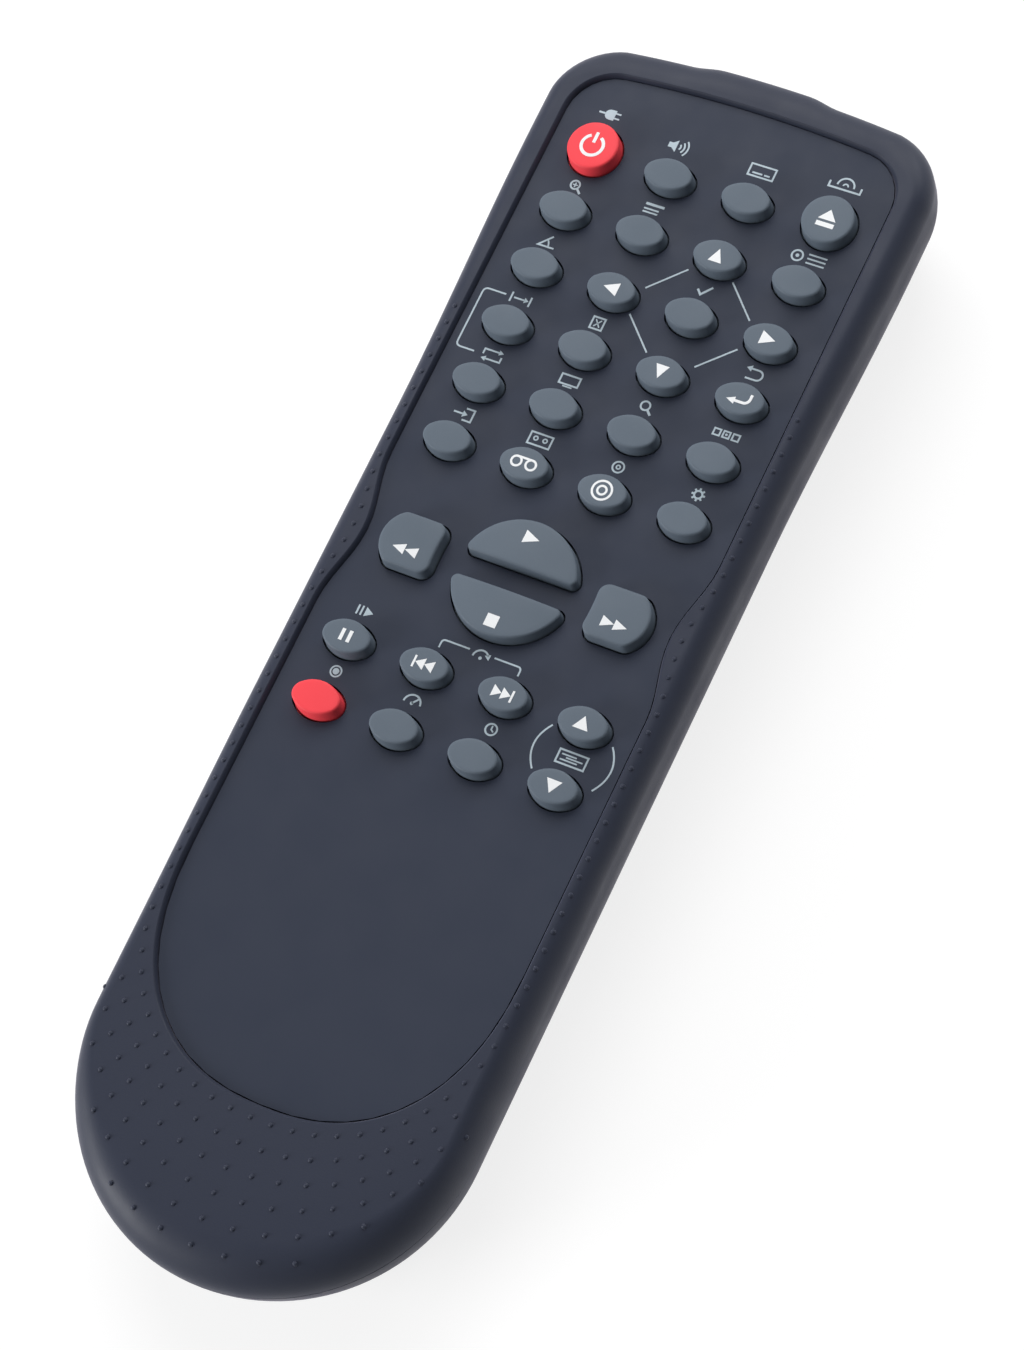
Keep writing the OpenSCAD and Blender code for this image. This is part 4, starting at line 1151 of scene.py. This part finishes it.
ARROW_LINES = (((2.45, 64.5), (-2.35, 59.65)), ((9.55, 64.7), (14.5, 59.8)),
               ((-2.75, 55.0), (2.3, 50.1)), ((14.75, 55.0), (9.95, 50.3)))
BRACKETS = ((0.8, ((-21.7, 51.87), (-25.3, 51.87), (-25.3, 41.81), (-22.2, 41.81))),
            (0.6, ((-6.3, -2.55), (-6.3, -1.2), (-1.9, -1.2))),
            (0.6, ((2.1, -1.2), (6.45, -1.2), (6.45, -2.55))))
BOWS = ((14.4, -1.35), (23.85, 1.35))


def plate_marks():
    bm = bmesh.new()
    for draw, x, y in LABELS:
        before = set(bm.verts)
        draw(bm)
        bmesh.ops.translate(bm, vec=(x, y, 0), verts=[v for v in bm.verts if v not in before])
    for points in ARROW_LINES:
        stroke(bm, points, LABEL_LINE_W)
    for r, points in BRACKETS:
        stroke(bm, rounded_turns(points, r), LABEL_LINE_W)
    for x, depth in BOWS:
        stroke(bm, bow(x, -7.4, x, -14.4, depth), LABEL_LINE_W)
    return printed(bm, lambda x, y: PLATE_Z, LABEL_T)


piece("plate_marks", plate_marks(), label_ink, "case")


# ---- battery side ----

def bevelled_copy(name, edge):
    """A CAD node's mesh with its flats merged and its edges eased by edge millimetres."""
    bm = bmesh.new()
    bm.from_mesh(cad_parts[name].data)
    bmesh.ops.scale(bm, vec=(1 / MM,) * 3, verts=bm.verts)
    bmesh.ops.remove_doubles(bm, verts=bm.verts, dist=1e-3)
    bmesh.ops.dissolve_limit(bm, angle_limit=math.radians(1.0), use_dissolve_boundaries=False,
                             verts=bm.verts[:], edges=bm.edges[:])
    if edge:
        sharp = [e for e in bm.edges if len(e.link_faces) == 2
                 and e.calc_face_angle(0) > math.radians(40)]
        bmesh.ops.bevel(bm, geom=sharp, offset=edge, offset_type="OFFSET", segments=2,
                        profile=0.5, affect="EDGES", clamp_overlap=True, material=-1)
    return bm


evened(piece("door_panel", bevelled_copy("battery_door", 0.18), lower_plastic, "battery_door",
             ["battery_door"]))
piece("window_lens", bevelled_copy("lamp_window", 0.0), window_plastic, "case",
      ["lamp_window"])
for name, new_name, edge, made, slot in (
        ("control_chip", "chip_block", 0.12, chip_plastic, "chip_plastic"),
        ("resonator", "resonator_block", 0.4, orange_ceramic, "orange_ceramic"),
        ("case_screws", "screws", 0.08, screw_steel, "screw_steel"),
        ("button_contacts", "button_plates", 0.06, contact_metal, "contact_metal"),
        ("bridge_plate", "bridge_strip", 0.06, contact_metal, "contact_metal")):
    piece(new_name, bevelled_copy(name, edge), made, "case", [name])


CAN_END_R = 6.5


def cell_mesh():
    """A cell that stands on its flat end, spun from its profile, with its button on top."""
    long = CELL_LEN
    profile = [(0, 0), (4.6, 0), (5.0, 0.15), (6.2, 0.15), (6.6, 0.0), (7.0, 0.1), (7.2, 0.4),
               (CELL_R, 0.8), (CELL_R, long - 2.3), (7.2, long - 1.85), (6.9, long - 1.5),
               (6.3, long - 1.4), (6.1, long - 1.6), (3.4, long - 1.6), (3.05, long - 1.45),
               (2.75, long - 1.2), (2.75, long - 0.35), (2.5, long - 0.05), (2.2, long), (0, long)]
    bm = bmesh.new()
    verts = [bm.verts.new((x, 0, z)) for x, z in profile]
    edges = [bm.edges.new(pair) for pair in zip(verts, verts[1:])]
    bmesh.ops.spin(bm, geom=verts + edges, cent=(0, 0, 0), axis=(0, 0, 1), angle=math.tau,
                   steps=64, use_merge=True)
    bmesh.ops.remove_doubles(bm, verts=bm.verts, dist=1e-4)
    bmesh.ops.recalc_face_normals(bm, faces=bm.faces)
    bmesh.ops.bisect_plane(bm, geom=bm.verts[:] + bm.edges[:] + bm.faces[:],
                           plane_co=(0, 0, long - GOLD_LEN), plane_no=(0, 0, 1))
    for face in bm.faces:
        middle = face.calc_center_median()
        if math.hypot(middle.x, middle.y) <= CAN_END_R:
            face.material_index = 2
        elif middle.z > long - GOLD_LEN:
            face.material_index = 1
    return bm


for side, s in (("left", -1), ("right", 1)):
    bm = cell_mesh()
    bmesh.ops.rotate(bm, matrix=Matrix.Rotation(s * math.pi / 2, 3, "X"), verts=bm.verts)
    low = min(v.co.y for v in bm.verts)
    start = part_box("cell_" + side)[0].y / MM
    bmesh.ops.translate(bm, vec=(s * CELL_X, start - low, CELL_Z), verts=bm.verts)
    piece("cell_" + side + "_can", bm, [cell_green, cell_gold, cell_steel], "case",
          ["cell_" + side])


def coil_mesh(x, y, way):
    """A conical coil of wire from a contact plate, way = 1 towards the head end."""
    turns, steps, wire = 6.0, 28, 0.35
    foot_r, narrowing, length = CELL_R * 0.68, 1.75, 4.4
    count = int(turns * steps)
    bm = bmesh.new()
    rings = []
    for i in range(count + 1):
        t = i / count
        a = math.tau * turns * t
        r = foot_r - narrowing * t
        along = wire + 0.05 + (length - 2 * wire) * t
        centre = Vector((r * math.cos(a), along, r * math.sin(a)))
        out = Vector((math.cos(a), 0, math.sin(a)))
        rings.append([centre + wire * (math.cos(b) * out + math.sin(b) * Vector((0, 1, 0)))
                      for b in [math.tau * k / 10 for k in range(10)]])
    closed_skin(bm, rings)
    for vert in bm.verts:
        vert.co = (x + vert.co.x, y + way * vert.co.y, CELL_Z + vert.co.z)
    return bm


def joined(parts):
    """One mesh of several that stand apart or touch."""
    whole_mesh = bmesh.new()
    for part in parts:
        bmesh.ops.recalc_face_normals(part, faces=part.faces)
        mesh = mesh_from(part, "part")
        whole_mesh.from_mesh(mesh)
        bpy.data.meshes.remove(mesh)
    return whole_mesh


CONTACT_HALF_W, CONTACT_T = CELL_R * 0.75, 0.5
piece("coil_springs", joined([
    coil_mesh(CELL_X, BAY_TOP_Y - CONTACT_T, -1), coil_mesh(-CELL_X, BAY_LOW_Y + CONTACT_T, 1),
    box_mesh((CELL_X - CONTACT_HALF_W, BAY_TOP_Y - CONTACT_T, END_WALL_Z + 0.2),
             (CELL_X + CONTACT_HALF_W, BAY_TOP_Y, BAY_TOP_Z))]),
    contact_metal, "case", ["coil_contacts"], sharp=50.0)

for name, made in (
        ("face_plate", plate_plastic), ("keypad_mat", mat_rubber),
        ("circuit_board", board_laminate), ("contact_pads", carbon_ink),
        ("chip_legs", tinned_metal), ("capacitor", sleeve_plastic), ("transistor", chip_plastic),
        ("resistors", resistor_lacquer), ("infrared_lamp", lamp_epoxy),
        ("lamp_leads", tinned_metal), ("supply_wires", wire_sleeve)):
    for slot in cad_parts[name].material_slots:
        slot.material = made


# ---- stage, light and camera ----

def seen_white(tree, first, second):
    """Shows second to the camera and in gloss and glass, and first to everything else."""
    path = node(tree, "LightPath")
    either = node(tree, "Math", operation="MAXIMUM")
    any_of = node(tree, "Math", operation="MAXIMUM")
    tree.links.new(path.outputs["Is Camera Ray"], either.inputs[0])
    tree.links.new(path.outputs["Is Glossy Ray"], either.inputs[1])
    tree.links.new(either.outputs[0], any_of.inputs[0])
    tree.links.new(path.outputs["Is Transmission Ray"], any_of.inputs[1])
    mix = node(tree, "MixShader")
    tree.links.new(any_of.outputs[0], mix.inputs[0])
    tree.links.new(first, mix.inputs[1])
    tree.links.new(second, mix.inputs[2])
    return mix.outputs[0]


def floor_finish():
    mat = bpy.data.materials.new("pale_floor")
    mat.use_nodes = True
    tree = mat.node_tree
    tree.nodes.clear()
    matt = node(tree, "BsdfDiffuse", Color=(0.9, 0.9, 0.9, 1.0))
    glow = node(tree, "Emission", Color=(1.0, 1.0, 1.0, 1.0), Strength=0.8)
    both = node(tree, "AddShader")
    faint = node(tree, "BsdfDiffuse", Color=(0.3, 0.3, 0.3, 1.0))
    tree.links.new(faint.outputs[0], both.inputs[0])
    tree.links.new(glow.outputs[0], both.inputs[1])
    out = node(tree, "OutputMaterial")
    tree.links.new(seen_white(tree, matt.outputs[0], both.outputs[0]), out.inputs["Surface"])
    return mat


floor_bm = bmesh.new()
bmesh.ops.create_grid(floor_bm, x_segments=2, y_segments=2, size=1.5)
floor_mesh = mesh_from(floor_bm, "floor")
floor_mesh.materials.append(floor_finish())
linked("floor", floor_mesh)

world = bpy.data.worlds.new("studio")
bpy.context.scene.world = world
world.use_nodes = True
world.node_tree.nodes.clear()
ambient = node(world.node_tree, "Background", Color=(1.0, 1.0, 1.0, 1.0), Strength=0.17)
seen = node(world.node_tree, "Background", Color=(1.0, 1.0, 1.0, 1.0), Strength=1.0)
world_out = node(world.node_tree, "OutputWorld")
world.node_tree.links.new(seen_white(world.node_tree, ambient.outputs[0], seen.outputs[0]),
                          world_out.inputs["Surface"])


def softbox(name, place, aim, size, power):
    light = bpy.data.lights.new(name, "AREA")
    light.shape, light.size, light.size_y, light.energy = "RECTANGLE", size[0], size[1], power
    obj = linked(name, light)
    obj.location = place
    obj.rotation_euler = (Vector(aim) - Vector(place)).to_track_quat("-Z", "Y").to_euler()


softbox("main_light", (-0.3, 0.65, 0.72), (0, 0.03, 0), (0.8, 0.8), 8.0)
softbox("low_light", (-0.7, -0.65, 0.26), (0, 0, 0), (0.5, 0.4), 8.0)
softbox("head_light", (0.25, 0.9, 0.4), (0, 0.06, 0), (0.4, 0.4), 2.4)

camera = bpy.data.cameras.new("camera")
camera.sensor_width = 36.0
camera.lens = 105.88
camera.clip_start, camera.clip_end = 0.01, 10.0
camera_obj = linked("camera", camera)
camera_obj.matrix_world = Matrix((
    (0.87919, -0.32478, 0.34862, 0.20100),
    (0.42472, 0.86584, -0.26447, -0.15088),
    (-0.21596, 0.38058, 0.89918, 0.52530),
    (0.0, 0.0, 0.0, 1.0)))
bpy.context.scene.camera = camera_obj
bpy.context.scene.view_settings.view_transform = "Standard"
